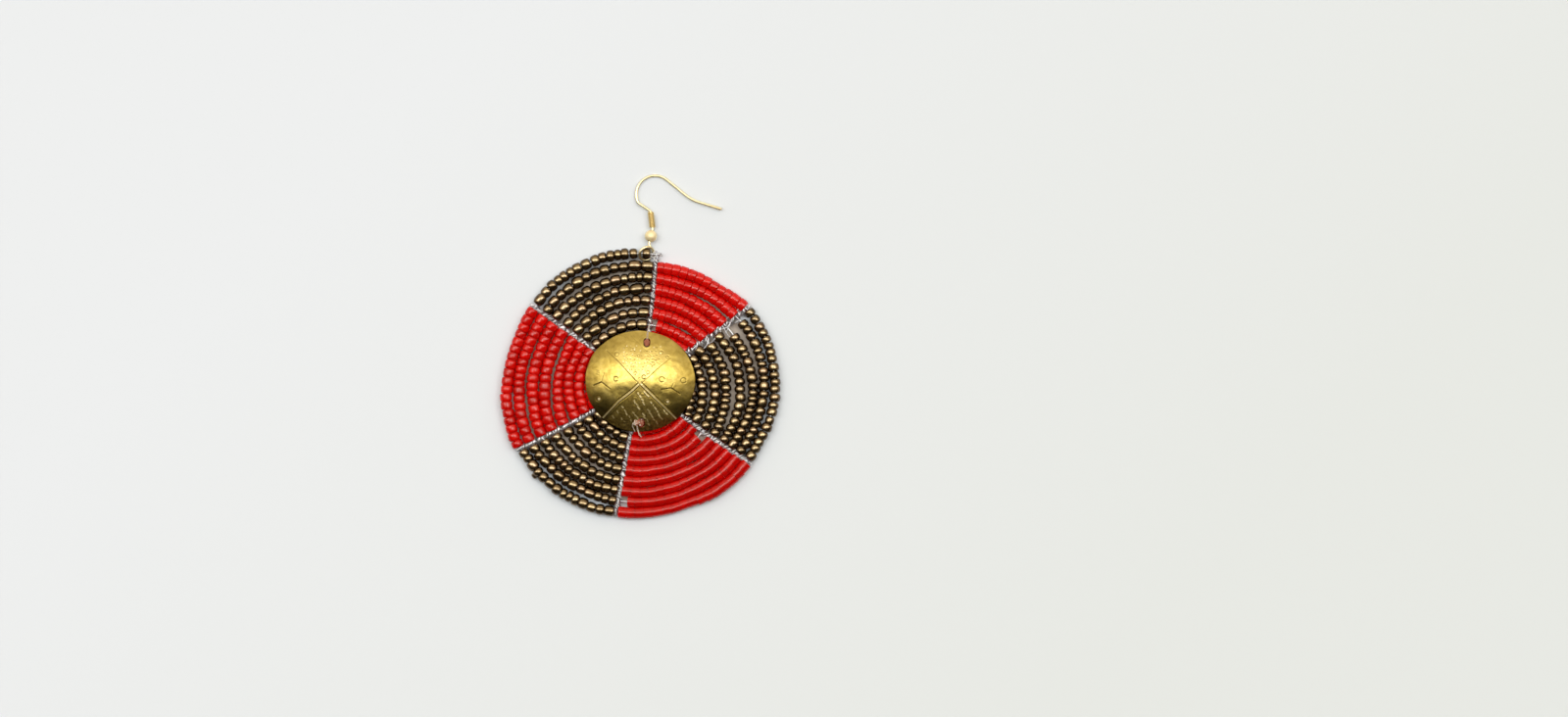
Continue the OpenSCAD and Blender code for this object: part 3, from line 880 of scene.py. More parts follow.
# loose wires where the upper right spoke gapes
for pts in (
        [seen(742, 312, 2.0), seen(748, 321, 2.2), seen(745, 331, 2.1), seen(740, 341, 1.9)],
        [seen(757, 309, 1.6), seen(751, 319, 2.3), seen(742, 325, 2.1), seen(736, 335, 1.2)],
        [seen(733, 329, 2.3), seen(738, 334, 2.2), seen(742, 341, 2.2), seen(747, 347, 1.7)],
        [seen(748, 322, 1.3), seen(743, 333, 2.2), seen(737, 336, 2.2), seen(729, 341, 1.4)],
        [seen(727, 333, 2.2), seen(731, 341, 2.3), seen(727, 349, 2.2), seen(721, 352, 1.5)],
        [seen(719, 340, 2.0), seen(723, 348, 2.3), seen(718, 356, 2.2), seen(711, 358, 1.5)]):
    parts.append(tube(smooth_path(pts), 0.115, 8))
# twist of wire in the middle
u = np.linspace(0, 2 * math.pi * 5, 110)
parts.append(tube(np.stack([HUB[0] + (0.55 + 0.25 * np.sin(u * 0.31)) * np.cos(u),
                            HUB[1] + (0.55 + 0.25 * np.sin(u * 0.31)) * np.sin(u),
                            STRAND_Z - 0.75 + 1.5 * u / u[-1]], -1), 0.2, 8))
spokes = link_tubes("twisted_spokes", parts)
finish_piece(spokes, SILVER, "silver_wire", "spoke_wires")

# ---------------------------------------------------------------- ear wire

HOOK_RUN = [(3.85, 1.00, 20.0), (4.05, 0.60, 49.0), (3.15, 1.25, -33.5), (0.0, 4.8, -151.6),
            (6.25, 10.0, 22.0), (6.10, 0.0, 0.0)]
HOOK_START = (2.2, 35.25, -13.0)
BALL_AT, BALL_D, HOOK_DIP, HOOK_R = 2.05, 3.06, 4.4, 0.325


def along(s, d):
    h = math.radians(s[2])
    return (s[0] - d * math.sin(h), s[1] + d * math.cos(h), s[2])


def bend(s, r, b):
    if b == 0:
        return s
    g = 1 if b > 0 else -1
    h = math.radians(s[2])
    c = (s[0] - g * r * math.cos(h), s[1] - g * r * math.sin(h))
    h2 = math.radians(s[2] + b)
    return (c[0] + g * r * math.cos(h2), c[1] + g * r * math.sin(h2), s[2] + b)


ball_s = along(HOOK_START, BALL_AT)


def dipped(x, y, lift=0.0):
    a = math.radians(HOOK_DIP)
    return np.array((x, ball_s[1] + (y - ball_s[1]) * math.cos(a) + lift * math.sin(a),
                     BALL_D / 2 - (y - ball_s[1]) * math.sin(a) + lift * math.cos(a)))


states, plan = [HOOK_START], []
for ln, r, b in HOOK_RUN:
    s0 = states[-1]
    n = max(1, int(ln / 0.45))
    for j in range(n):
        if ln > 0:
            plan.append(along(s0, ln * j / n))
    e = along(s0, ln)
    if b:
        m = max(2, int(abs(b) / 4))
        for j in range(m):
            plan.append(bend(e, r, b * j / m))
    else:
        plan.append(e)
    states.append(bend(e, r, b))
hook_pts = np.array([dipped(q[0], q[1]) for q in plan])
lens = np.concatenate([[0], np.cumsum(np.linalg.norm(np.diff(hook_pts, axis=0), axis=1))])
# a little hammered flat at the near side of the bend, rounded at the tip
start_bend = 3.85 + 0.35 + 4.05 + 0.51 + 3.15 + 0.73
flat = []
for d in lens:
    w = math.exp(-((d - start_bend - 1.4) / 2.0) ** 2)
    flat.append((1 + 0.10 * w, 1 - 0.16 * w))
radius = np.full(len(lens), HOOK_R)
tip = lens[-1] - lens
radius = np.where(tip < 0.2, HOOK_R * np.sqrt(np.clip(1 - ((0.2 - tip) / 0.2) ** 2 * 0.75, 0.05, 1)), radius)


def refine_end(pts, rad, fl):
    """Adds rings near the tip so that its rounding shows."""
    a, b = pts[-2], pts[-1]
    new, nr, nf = [], [], []
    for d in (0.20, 0.14, 0.09, 0.05, 0.02):
        length = np.linalg.norm(b - a)
        new.append(b + (a - b) * d / length)
        nr.append(HOOK_R * math.sqrt(max(0.05, 1 - ((0.2 - d) / 0.2) ** 2 * 0.8)))
        nf.append((1, 1))
    return (np.concatenate([pts[:-1], new, pts[-1:]]), np.concatenate([rad[:-1], nr, [HOOK_R * 0.4]]),
            fl[:-1] + nf + [(1, 1)])


hook_pts, radius, flat = refine_end(hook_pts, radius, flat)

# the loop that goes round the outer strand, its wire's end tucked beside the link
LOOP_R = 1.85
SLOPE = (0.45, 0.58)


def on_loop(x, y):
    p = np.array((x, y, y * SLOPE[1] - x * SLOPE[0]))
    return LOOP_C + p * LOOP_R / np.linalg.norm(p)


ax_u = np.array((1.0, 0.0, -SLOPE[0]))
ax_v = np.array((0.0, 1.0, SLOPE[1]))
ax_u /= np.linalg.norm(ax_u)
ax_n = np.cross(ax_u, ax_v)
ax_n /= np.linalg.norm(ax_n)
ax_w = np.cross(ax_n, ax_u)
ang = np.linspace(0, 2 * math.pi, 72, endpoint=False)
loop_pts = LOOP_C + LOOP_R * (np.cos(ang)[:, None] * ax_u + np.sin(ang)[:, None] * ax_w)
link_a = dipped(HOOK_START[0], HOOK_START[1])
link_b = on_loop(1.05, 1.42)
GOLD = wire_metal("pale_gold_wire", (0.88, 0.78, 0.50), 0.30, (0.76, 0.64, 0.36), 260.0)
link_path = [link_b * (1 - f) + link_a * f for f in np.linspace(0, 1, 6)]
hook = link_tubes("ear_wire", [
    tube(np.concatenate([np.array(link_path), hook_pts[1:]]),
         np.concatenate([np.full(6, HOOK_R * 0.96), radius[1:]]), 16, flat=[(1, 1)] * 6 + flat[1:]),
    tube(loop_pts, HOOK_R * 1.10, 14, closed=True)])
finish_piece(hook, GOLD, "pale_gold_wire", "ear_hook")

# coil
s1 = states[1]
turns_n, wire_r, coil_len = 12.5, 0.165, 4.2
coil_r = 0.8 - wire_r
m = int(turns_n * 22)
h = math.radians(s1[2])
d2 = np.array((-math.sin(h), math.cos(h)))
n2 = np.array((math.cos(h), math.sin(h)))
coil_pts = []
for j in range(m + 1):
    f = j / m
    a = 2 * math.pi * turns_n * f
    d = wire_r + (coil_len - 2 * wire_r) * (f + 0.006 * math.sin(f * 31.0))
    x = np.array(s1[:2]) + d2 * d + n2 * coil_r * math.cos(a)
    coil_pts.append(dipped(x[0], x[1], coil_r * math.sin(a)))
COIL_GOLD = wire_metal("pale_gold_coil", (0.86, 0.70, 0.34), 0.28, (0.66, 0.51, 0.22), 300.0)
coil = link_tubes("coil", [tube(coil_pts, wire_r, 10)])
finish_piece(coil, COIL_GOLD, "pale_gold_coil", "hook_coil")

# ball, bored along the wire, its holes' edges rounded
bp = np.array(ball_s[:2])
h = math.radians(ball_s[2])
axis2 = dipped(*(bp + 0.5 * np.array((-math.sin(h), math.cos(h))))) - dipped(*bp)
axis2 /= np.linalg.norm(axis2)
side2 = np.cross(axis2, (0, 0, 1.0))
side2 /= np.linalg.norm(side2)
up2 = np.cross(side2, axis2)
R, hole = BALL_D / 2, 0.45
a0 = math.asin(hole / R) + 0.10
prof = [(-R * math.cos(a0) * 0.8, hole), (-R * math.cos(a0) * 0.98, hole + 0.02)]
for j in range(29):
    a = a0 + (math.pi - 2 * a0) * j / 28
    prof.append((-R * math.cos(a), R * math.sin(a)))
prof += [(R * math.cos(a0) * 0.98, hole + 0.02), (R * math.cos(a0) * 0.8, hole)]
prof = np.array(prof)
u = np.linspace(0, 2 * math.pi, 40, endpoint=False)
c3 = dipped(*bp)
bv = (c3 + prof[:, 0][:, None, None] * axis2 + prof[:, 1][:, None, None]
      * (np.cos(u)[None, :, None] * side2 + np.sin(u)[None, :, None] * up2)).reshape(-1, 3)


def ball_metal():
    m, t, b = new_material("satin_gold_ball")
    n1 = noise_of(t, object_coords(t), 900.0, 3.0, 0.6)
    col = ramp_of(t, n1, [(0.3, (0.86, 0.73, 0.44)), (0.65, (0.93, 0.81, 0.52))])
    t.links.new(col, b.inputs["Base Color"])
    b.inputs["Metallic"].default_value = 0.55
    t.links.new(map_range(t, n1, 0.3, 0.7, 0.60, 0.48), b.inputs["Roughness"])
    bump(t, b, noise_of(t, object_coords(t), 5000.0, 2.0), 0.35, 0.00004)
    return m


ball = link_mesh("ball", bv, ring_faces(len(prof), 40, closed_rings=True)[:, ::-1])
finish_piece(ball, ball_metal(), "satin_gold_ball", "hook_ball")

# ---------------------------------------------------------------- brass dome

DOME_AT, DOME_Z = np.array((-0.05, 0.25)), 2.95
DOME_W, DOME_H, RISE, SHEET = 28.0, 25.8, 4.4, 0.6
A_MID = (DOME_W + DOME_H) / 4
DOME_R = (A_MID ** 2 + RISE ** 2) / (2 * RISE)
DEPTH = DOME_R - RISE
KX, KY = DOME_W / 2 / A_MID, DOME_H / 2 / A_MID
HOLES = [(1.75, 10.1), (0.3, -10.35)]
HOLE_W, HOLE_H = 1.7, 2.4


def dome_top(x, y, r=DOME_R):
    """Height over the rim of the sheet's outer face, from places seen from the dome's centre."""
    q = (x / KX) ** 2 + (y / KY) ** 2
    return np.sqrt(np.maximum(r * r - q, 0)) - DEPTH


def build_dome():
    n, rings = 640, 128
    u = np.linspace(0, 2 * math.pi, n, endpoint=False)
    w_max = math.asin(A_MID / DOME_R)
    verts, faces = [], []
    # slightly uneven edge
    edge = 1 + 0.004 * np.sin(3 * u + 0.6) + 0.003 * np.sin(7 * u + 2.0) + 0.002 * np.sin(13 * u)
    for j in range(1, rings + 1):
        w = w_max * j / rings
        e = 1 + (edge - 1) * (j / rings) ** 6
        x = KX * DOME_R * math.sin(w) * np.cos(u) * e
        y = KY * DOME_R * math.sin(w) * np.sin(u) * e
        verts.append(np.stack([x, y, np.full(n, DOME_R * math.cos(w) - DEPTH)], -1))
    r2 = DOME_R - SHEET
    a2 = math.sqrt(r2 ** 2 - DEPTH ** 2)
    w2 = math.asin(a2 / r2)
    inner = 8
    for j in range(inner, 0, -1):
        w = w2 * j / inner
        x = KX * r2 * math.sin(w) * np.cos(u)
        y = KY * r2 * math.sin(w) * np.sin(u)
        verts.append(np.stack([x, y, np.full(n, r2 * math.cos(w) - DEPTH)], -1))
    v = np.concatenate(verts)
    total = rings + inner
    quads = ring_faces(total, n)[:, ::-1]
    top, bottom = len(v), len(v) + 1
    v = np.concatenate([v, [[0, 0, RISE], [0, 0, RISE - SHEET]]])
    j = np.arange(n)
    tris = np.concatenate([np.stack([np.full(n, top), j, (j + 1) % n], -1),
                           np.stack([np.full(n, bottom), (total - 1) * n + (j + 1) % n, (total - 1) * n + j], -1)])
    me = bpy.data.meshes.new("brass_dome_sheet")
    me.vertices.add(len(v))
    me.vertices.foreach_set("co", (v * MM).astype(np.float32).ravel())
    loops = np.concatenate([quads.ravel(), tris.ravel()])
    me.loops.add(len(loops))
    me.loops.foreach_set("vertex_index", loops.astype(np.int32))
    starts = np.concatenate([np.arange(len(quads)) * 4, len(quads) * 4 + np.arange(len(tris)) * 3])
    me.polygons.add(len(starts))
    me.polygons.foreach_set("loop_start", starts.astype(np.int32))
    me.update(calc_edges=True)
    me.validate()
    o = bpy.data.objects.new("brass_dome_sheet", me)
    scene.collection.objects.link(o)
    return o


def cut_holes(o):
    cutters = []
    for k, (hx, hy) in enumerate(HOLES):
        m = 40
        u = np.linspace(0, 2 * math.pi, m, endpoint=False)
        x = HOLE_W / 2 * np.cos(u)
        y = HOLE_W / 2 * np.sin(u) + np.where(np.sin(u) >= 0, 1, -1) * (HOLE_H - HOLE_W) / 2
        cx, cy = hx - DOME_AT[0], hy - DOME_AT[1]
        v = np.concatenate([np.stack([x + cx, y + cy, np.full(m, -2.0)], -1),
                            np.stack([x + cx, y + cy, np.full(m, 8.0)], -1)]) * MM
        me = bpy.data.meshes.new("cutter")
        f = [(i, (i + 1) % m, m + (i + 1) % m, m + i) for i in range(m)]
        f += [tuple(range(m - 1, -1, -1)), tuple(range(m, 2 * m))]
        me.from_pydata(v.tolist(), [], f)
        c = bpy.data.objects.new("cutter", me)
        scene.collection.objects.link(c)
        mod = o.modifiers.new("hole%d" % k, "BOOLEAN")
        mod.operation = "DIFFERENCE"
        mod.solver = "EXACT"
        mod.object = c
        cutters.append(c)
    dg = bpy.context.evaluated_depsgraph_get()
    me = bpy.data.meshes.new_from_object(o.evaluated_get(dg))
    o.modifiers.clear()
    old = o.data
    o.data = me
    me.name = "brass_dome_sheet"
    bpy.data.meshes.remove(old)
    for c in cutters:
        bpy.data.objects.remove(c)
    return o


def seg_distance(p, a, b):
    a, b = np.array(a, float), np.array(b, float)
    d = b - a
    t = np.clip(((p - a) @ d) / (d @ d), 0, 1)
    return np.linalg.norm(p - (a + t[:, None] * d), axis=1), t


def ornament(p):
    """Depth of the chased ornament, how dark it is and its painted highlights, at places in the picture's frame."""
    depth = np.zeros(len(p))
    dark = np.zeros(len(p))
    painted_glint = np.zeros(len(p))

    def groove(dist, width, deep, soot):
        nonlocal depth, dark
        g = np.exp(-(dist / width) ** 2)
        rim = np.exp(-((dist - width * 1.9) / (width * 0.8)) ** 2)
        depth = np.maximum(depth, deep * g) - 0.18 * deep * rim * (depth < deep * 0.3)
        dark = np.maximum(dark, soot * np.exp(-(dist / (width * 1.15)) ** 2))

    def line(points, width, deep, soot, double=None):
        d = np.full(len(p), 1e9)
        for a, b in zip(points, points[1:]):
            d = np.minimum(d, seg_distance(p, a, b)[0])
        groove(d, width, deep, soot)
        if double:
            off = np.array(double)
            d = np.full(len(p), 1e9)
            for a, b in zip(points, points[1:]):
                d = np.minimum(d, seg_distance(p - off, a, b)[0])
            groove(d, width, deep, soot)

    def band(points, amount):
        """A raised strip with a painted highlight along it."""
        nonlocal depth
        d = np.full(len(p), 1e9)
        for a, b in zip(points, points[1:]):
            d = np.minimum(d, seg_distance(p, a, b)[0])
        depth = depth - 0.02 * np.exp(-(d / 0.9) ** 2)
        painted_glint[:] = np.maximum(painted_glint, amount * np.exp(-(d / 0.85) ** 2))

    def ring(c, r, width, deep, soot, start=0.0, sweep=360.0):
        q = p - np.array(c)
        d = np.abs(np.linalg.norm(q, axis=1) - r)
        if sweep < 360:
            a = (np.degrees(np.arctan2(-q[:, 1], q[:, 0])) - start) % 360
            away = np.where(a <= sweep, 0, np.minimum(a - sweep, 360 - a)) * math.pi / 180 * r
            d = np.sqrt(d ** 2 + away ** 2)
        groove(d, width, deep, soot)

    W, D = 0.44, 0.075
    # the two crossing lines, doubled on their lower halves
    line([(619.5, 357.7), (631.5, 368.4), (653.3, 392.6)], W, D * 0.8, 0.60)
    line([(653.3, 392.6), (688.9, 428.6)], W * 1.1, D * 1.3, 0.80, (2.3, -2.4))
    band([(654.4, 391.4), (690.1, 427.4)], 0.55)
    line([(684.9, 364.9), (674.5, 373.6), (653.8, 393.4)], W * 0.9, D * 0.6, 0.40)
    line([(653.8, 393.4), (645.8, 400.8), (633, 410.8), (616.3, 427.8)], W * 1.1, D * 1.3, 0.85, (-2.2, -2.2))
    band([(652.7, 392.3), (644.7, 399.7), (631.9, 409.7), (615.2, 426.7)], 0.55)
    line([(644, 342.5), (652, 350), (662, 360), (673.3, 371)], W * 0.8, D * 0.35, 0.20)
    # three-armed marks in the side quadrants
    for c, arms in (((614.3, 390), ((616.7, 380.8), (606, 393.6), (623.1, 397.1))),
                    ((685.7, 396), ((687.9, 391.2), (675.7, 397.5), (694.4, 402.3)))):
        for n, arm in enumerate(arms):
            line([c, arm], 0.44 if n else 0.40, D * (1.6 if n else 0.7), 0.95 if n else 0.40)
    # rings
    for c, r, soot, start, sweep in (
            ((629.1, 386.8), 2.8, 0.55, 20, 300), ((611.1, 406.7), 3.2, 0.75, 0, 360),
            ((676.1, 387.2), 3.0, 0.55, 0, 300), ((698.0, 388.4), 3.1, 0.65, 10, 320),
            ((681.3, 409.5), 3.1, 0.8, 0, 360), ((666.9, 370.8), 2.3, 0.4, 0, 360),
            ((657.8, 384.8), 2.3, 0.95, 30, 290), ((629.9, 360.9), 2.5, 0.3, 0, 360),
            ((649.0, 407.0), 2.8, 0.7, 0, 360), ((656.2, 402.3), 2.3, 0.7, 0, 360),
            ((662.1, 380.0), 1.9, 0.45, 0, 360), ((649.0, 380.8), 1.9, 0.3, 0, 360),
            ((675.3, 359.3), 2.2, 0.35, 0, 360), ((681.7, 364.1), 1.6, 0.3, 0, 360),
            ((652.2, 362.5), 1.4, 0.3, 0, 360)):
        ring(c, r * 0.86, 0.40, D * 0.75, soot, start, sweep)
    # the two lower rings are sunk with a raised bead in the middle that has a painted highlight
    for c in ((611.1, 406.7), (681.3, 409.5)):
        d = np.linalg.norm(p - np.array(c), axis=1)
        dark = np.maximum(dark, 0.75 * np.exp(-(d / 3.5) ** 4))
        e = np.linalg.norm(p - np.array((c[0] + 0.6, c[1] + 0.5)), axis=1)
        depth = depth - 0.06 * np.exp(-(e / 1.1) ** 2)
        painted_glint[:] = np.maximum(painted_glint, 1.15 * np.exp(-(e / 1.25) ** 2))
    # a few short chisel marks beside the left mark
    for a, b in (((608.2, 377.4), (611.6, 378.6)), ((608.6, 381.8), (611.9, 383.0)), ((609.0, 379.6), (612.2, 380.8))):
        line([a, b], 0.36, D * 0.45, 0.30)
    # small punched dots in the upper quadrant, in loose rows
    r = random.Random(5)
    for row in range(9):
        for col in range(13):
            x = 637 + col * 3.1 + r.uniform(-0.8, 0.8) + (row % 2) * 1.5
            y = 354.5 + row * 3.9 + r.uniform(-0.9, 0.9)
            if abs(x - 654) < (390 - y) * 0.88 and y < 387 and (x - 660.5) ** 2 + (y - 349.6) ** 2 > 50:
                if r.random() < 0.80:
                    d = np.linalg.norm(p - np.array((x, y)), axis=1)
                    groove(d, r.uniform(0.42, 0.70), D * r.uniform(0.6, 1.1), r.uniform(0.35, 0.75))
                # painted highlights beside some of the dots
                if r.random() < 0.45:
                    d = np.linalg.norm(p - np.array((x + r.uniform(-1, 1), y + r.uniform(-1, 1))), axis=1)
                    painted_glint[:] = np.maximum(painted_glint, r.uniform(0.3, 0.7) * np.exp(-(d / 0.8) ** 2))
    # rows of short chisel dashes in the lower quadrant, raised between dark sunk ground, with painted highlights on the
    # dashes
    for row in range(9):
        for col in range(10):
            x = 626 + row * 5.2 + r.uniform(-0.6, 0.6) + col * 2.0
            y = 433 - row * 4.6 + col * 3.3 + r.uniform(-0.5, 0.5) - 8
            inside = (y - 396) > abs(x - 654) * 0.95 and ((x - 653.3) / 51) ** 2 + ((y - 389) / 46.5) ** 2 < 1
            if inside and r.random() < 0.80:
                a = r.uniform(35, 75)
                half = r.uniform(0.5, 1.6)
                dx, dy = math.cos(math.radians(a)) * half, math.sin(math.radians(a)) * half
                d, _ = seg_distance(p, (x - dx, y - dy), (x + dx, y + dy))
                depth = depth - 0.075 * np.exp(-(d / 0.62) ** 2) + 0.030 * np.exp(-((d - 1.5) / 0.6) ** 2)
                dark = np.maximum(dark * (1 - 0.95 * np.exp(-(d / 0.65) ** 2)), 0.45 * np.exp(-((d - 1.5) / 0.7) ** 2))
                strong = r.uniform(0.55, 1.0) * min(1.0, max(0.35, 1.25 - (y - 400) / 45))
                painted_glint[:] = np.maximum(painted_glint, strong * np.exp(-(d / 0.68) ** 2))
    # dimples at the lower rim
    for c in ((626, 432.6), (637.8, 431.8), (657.8, 434.2)):
        d = np.linalg.norm(p - np.array(c), axis=1)
        groove(d, 1.9, D * 2.2, 0.95)
    return depth, dark, painted_glint


def chase_dome(o):
    me = o.data
    n = len(me.vertices)
    co = np.zeros(n * 3, np.float32)
    me.vertices.foreach_get("co", co)
    v = co.reshape(-1, 3).astype(float) / MM
    x, y, z = v[:, 0], v[:, 1], v[:, 2]
    top = np.abs(z - dome_top(x, y)) < 0.12
    q = np.stack([x / KX ** 2, y / KY ** 2, z + DEPTH], -1)
    nrm = q / np.linalg.norm(q, axis=1)[:, None]
    disc = np.stack([x + DOME_AT[0], y + DOME_AT[1]], -1)
    pic = np.stack([disc[:, 0] / 0.25 + 653.5, 390 - disc[:, 1] / 0.25], -1)
    depth, dark, painted_glint = ornament(pic)
    # broad hammer facets and a sunk line near the middle
    broad = np.zeros(n)
    for i in range(n):
        if top[i]:
            broad[i] = noise.noise(Vector((x[i] * 0.28, y[i] * 0.28, 3.1))) * 0.10 \
                + noise.noise(Vector((x[i] * 0.8, y[i] * 0.8, 9.1))) * 0.030 \
                + noise.noise(Vector((x[i] * 2.1, y[i] * 2.1, 5.1))) * 0.006
    lift = broad - depth
    for hx, hy in HOLES:
        dx, dy = disc[:, 0] - hx, disc[:, 1] - hy
        dy = np.sign(dy) * np.maximum(np.abs(dy) - (HOLE_H - HOLE_W) / 2, 0)
        d = np.sqrt(dx ** 2 + dy ** 2) - HOLE_W / 2
        lift += 0.05 * np.exp(-((d - 0.20) / 0.20) ** 2)
    edge = np.sqrt((x / KX) ** 2 + (y / KY) ** 2) / A_MID
    lift = lift * np.clip((1.0 - edge) / 0.03, 0, 1)
    v = v + nrm * (lift * top)[:, None]
    w = v.copy()
    w[:, 0] += DOME_AT[0] + SHIFT[0]
    w[:, 1] += DOME_AT[1] + SHIFT[1]
    w[:, 2] += DOME_Z
    w *= MM
    me.vertices.foreach_set("co", w.astype(np.float32).ravel())
    # tarnish in the chased lines and on the lower quadrant's ground, which is darker towards the bottom; painted shade
    # along the lower rim
    px_, py_ = pic[:, 0], pic[:, 1]
    low = np.clip((py_ - 398) / 40, 0, 1)
    rim = np.clip((edge - 0.86) / 0.14, 0, 1)
    t = dark.copy()
    quad = ((py_ - 394) > np.abs(px_ - 654) * 0.98)
    b1 = np.minimum(painted_glint, 1.0)
    t = t * (1 - 0.9 * b1)
    t = np.maximum(t, np.where(quad, 0.55 + 0.30 * low, 0) * (1 - b1))
    # painted shade: darker along the lower rim, where the dome turns away from the light
    t = np.maximum(t, rim * np.clip((py_ - 405) / 22, 0, 1) * 0.95)
    a = me.attributes.new("tarnish_and_rim_shade", "FLOAT", "POINT")
    a.data.foreach_set("value", (t * top).astype(np.float32))
    # painted shade: dark patches on the lower flanks either side of the middle, where the dome turns away from the
    # light
    shade = np.clip(1.6 * np.exp(-(((px_ - 607) / 19) ** 2 + ((py_ - 424) / 14) ** 2))
                    + 1.5 * np.exp(-(((px_ - 702) / 17) ** 2 + ((py_ - 424) / 12) ** 2))
                    + 0.75 * np.exp(-(((px_ - 637) / 12) ** 2 + ((py_ - 397) / 7) ** 2))
                    + 0.65 * np.exp(-(((px_ - 671) / 11) ** 2 + ((py_ - 397) / 7) ** 2)), 0, 1) * (1 - 0.9 * b1) * ~quad
    a = me.attributes.new("glint", "FLOAT", "POINT")
    a.data.foreach_set("value", (np.clip(painted_glint, 0, 1.1) * top).astype(np.float32))
    # partly the paler stippled metal, partly painted light: the upper quadrant and the middle made paler than the
    # metal's own colour
    pale = 0.35 * np.clip((354 - py_ + 42 - 0.9 * np.abs(px_ - 654)) / 16, 0, 1)
    inner = (391 - py_ > np.abs(px_ - 653.5) * 0.86) * np.clip((py_ - 354) / 8, 0, 1)
    pale = np.clip(pale + 0.85 * inner * np.clip((30 - np.abs(px_ - 656)) / 8, 0, 1), 0, 1)
    a = me.attributes.new("pale", "FLOAT", "POINT")
    a.data.foreach_set("value", (pale * top).astype(np.float32))
    a = me.attributes.new("painted_flank_shade", "FLOAT", "POINT")
    a.data.foreach_set("value", (shade * top).astype(np.float32))
    warm = np.exp(-(((px_ - 676) / 12) ** 2 + ((py_ - 431) / 5) ** 2))
    a = me.attributes.new("warm", "FLOAT", "POINT")
    a.data.foreach_set("value", (warm * top).astype(np.float32))
    me.polygons.foreach_set("use_smooth", np.full(len(me.polygons), True))
    me.update()


def brass():
    m, t, b = new_material("antiqued_brass")
    co = object_coords(t)
    grain = noise_of(t, co, 1500.0, 4.0, 0.65)
    cloud = noise_of(t, co, 160.0, 4.0, 0.6, 0.4)
    base = ramp_of(t, cloud, [(0.25, (0.445, 0.332, 0.076)), (0.5, (0.535, 0.415, 0.103)), (0.75, (0.605, 0.475, 0.136))])
    tarnish_and_shade = attribute(t, "tarnish_and_rim_shade").outputs["Fac"]
    painted_flank_shade = attribute(t, "painted_flank_shade").outputs["Fac"]
    warm = attribute(t, "warm").outputs["Fac"]

    def blend(a, colour, fac):
        n = node(t, "ShaderNodeMix", data_type="RGBA")
        t.links.new(fac, n.inputs["Factor"])
        t.links.new(a, n.inputs["A"])
        n.inputs["B"].default_value = (*colour, 1)
        return n.outputs["Result"]

    # tarnish and the painted rim shade break up along the grain
    rag = node(t, "ShaderNodeMath", operation="MULTIPLY_ADD", use_clamp=True)
    t.links.new(map_range(t, grain, 0.3, 0.7, 0.55, 1.25), rag.inputs[0])
    t.links.new(tarnish_and_shade, rag.inputs[1])
    rag.inputs[2].default_value = 0.0
    patches = node(t, "ShaderNodeMix", data_type="RGBA", blend_type="MULTIPLY")
    patches.inputs["Factor"].default_value = 1.0
    t.links.new(base, patches.inputs["A"])
    t.links.new(ramp_of(t, noise_of(t, co, 420.0, 5.0, 0.65, 0.5), [(0.32, (0.70, 0.66, 0.55)), (0.52, (1.0, 1.0, 1.0)),
                                                                   (0.72, (1.12, 1.14, 1.35))]), patches.inputs["B"])
    # paler upper quadrant and middle: paler stippling and painted light
    c = blend(patches.outputs["Result"], (0.80, 0.66, 0.26), map_range(t, attribute(t, "pale").outputs["Fac"], 0, 1, 0, 0.30))
    # painted shade on the lower flanks
    c = blend(c, (0.070, 0.056, 0.018), map_range(t, painted_flank_shade, 0, 1, 0, 0.85))
    c = blend(c, (0.50, 0.24, 0.05), map_range(t, warm, 0, 1, 0, 0.7))
    c = blend(c, (0.070, 0.040, 0.010), rag.outputs[0])
    # painted highlights: paler, less metallic colour where the ornament's glints are painted
    glint = attribute(t, "glint").outputs["Fac"]
    c = blend(c, (0.90, 0.78, 0.46), map_range(t, glint, 0.1, 0.8, 0, 1))
    t.links.new(c, b.inputs["Base Color"])
    t.links.new(map_range(t, glint, 0.1, 1.0, 1.0, 0.30), b.inputs["Metallic"])
    rough = node(t, "ShaderNodeMath", operation="ADD", use_clamp=True)
    t.links.new(map_range(t, grain, 0.3, 0.7, 0.28, 0.38), rough.inputs[0])
    t.links.new(map_range(t, tarnish_and_shade, 0, 1, 0.0, 0.28), rough.inputs[1])
    t.links.new(rough.outputs[0], b.inputs["Roughness"])
    bump(t, b, grain, 0.25, 0.00010)
    return m


dome = build_dome()
cut_holes(dome)
chase_dome(dome)
finish_piece(dome, brass(), "antiqued_brass", "brass_dome")

# ---------------------------------------------------------------- threads


def over_dome(u, v, lift=0.12):
    """A place just over the dome's face, or over the strands beside it."""
    x, y = px(u, v)
    dx, dy = x - DOME_AT[0], y - DOME_AT[1]
    e = math.sqrt((dx / KX) ** 2 + (dy / KY) ** 2) / A_MID
    if e < 1:
        return (x, y, DOME_Z + float(dome_top(np.array(dx), np.array(dy))) + lift)
    return (x, y, max(STRAND_Z + 1.45, DOME_Z + lift - (e - 1) * 16))


def fibre_bundle(rng, points, radius, strands, spread, sides=6):
    """A thread's plies and stray fibres along one path."""
    base = smooth_path(points, 10)
    out = []
    for q in range(strands):
        ph = rng.uniform(0, 6.28)
        off = np.stack([np.sin(np.linspace(0, 9, len(base)) + ph + q), np.cos(np.linspace(0, 7, len(base)) + ph * 1.3),
                        0.5 * np.sin(np.linspace(0, 5, len(base)) + ph * 2)], -1) * spread
        out.append(tube(base + off, radius, sides))
    return out


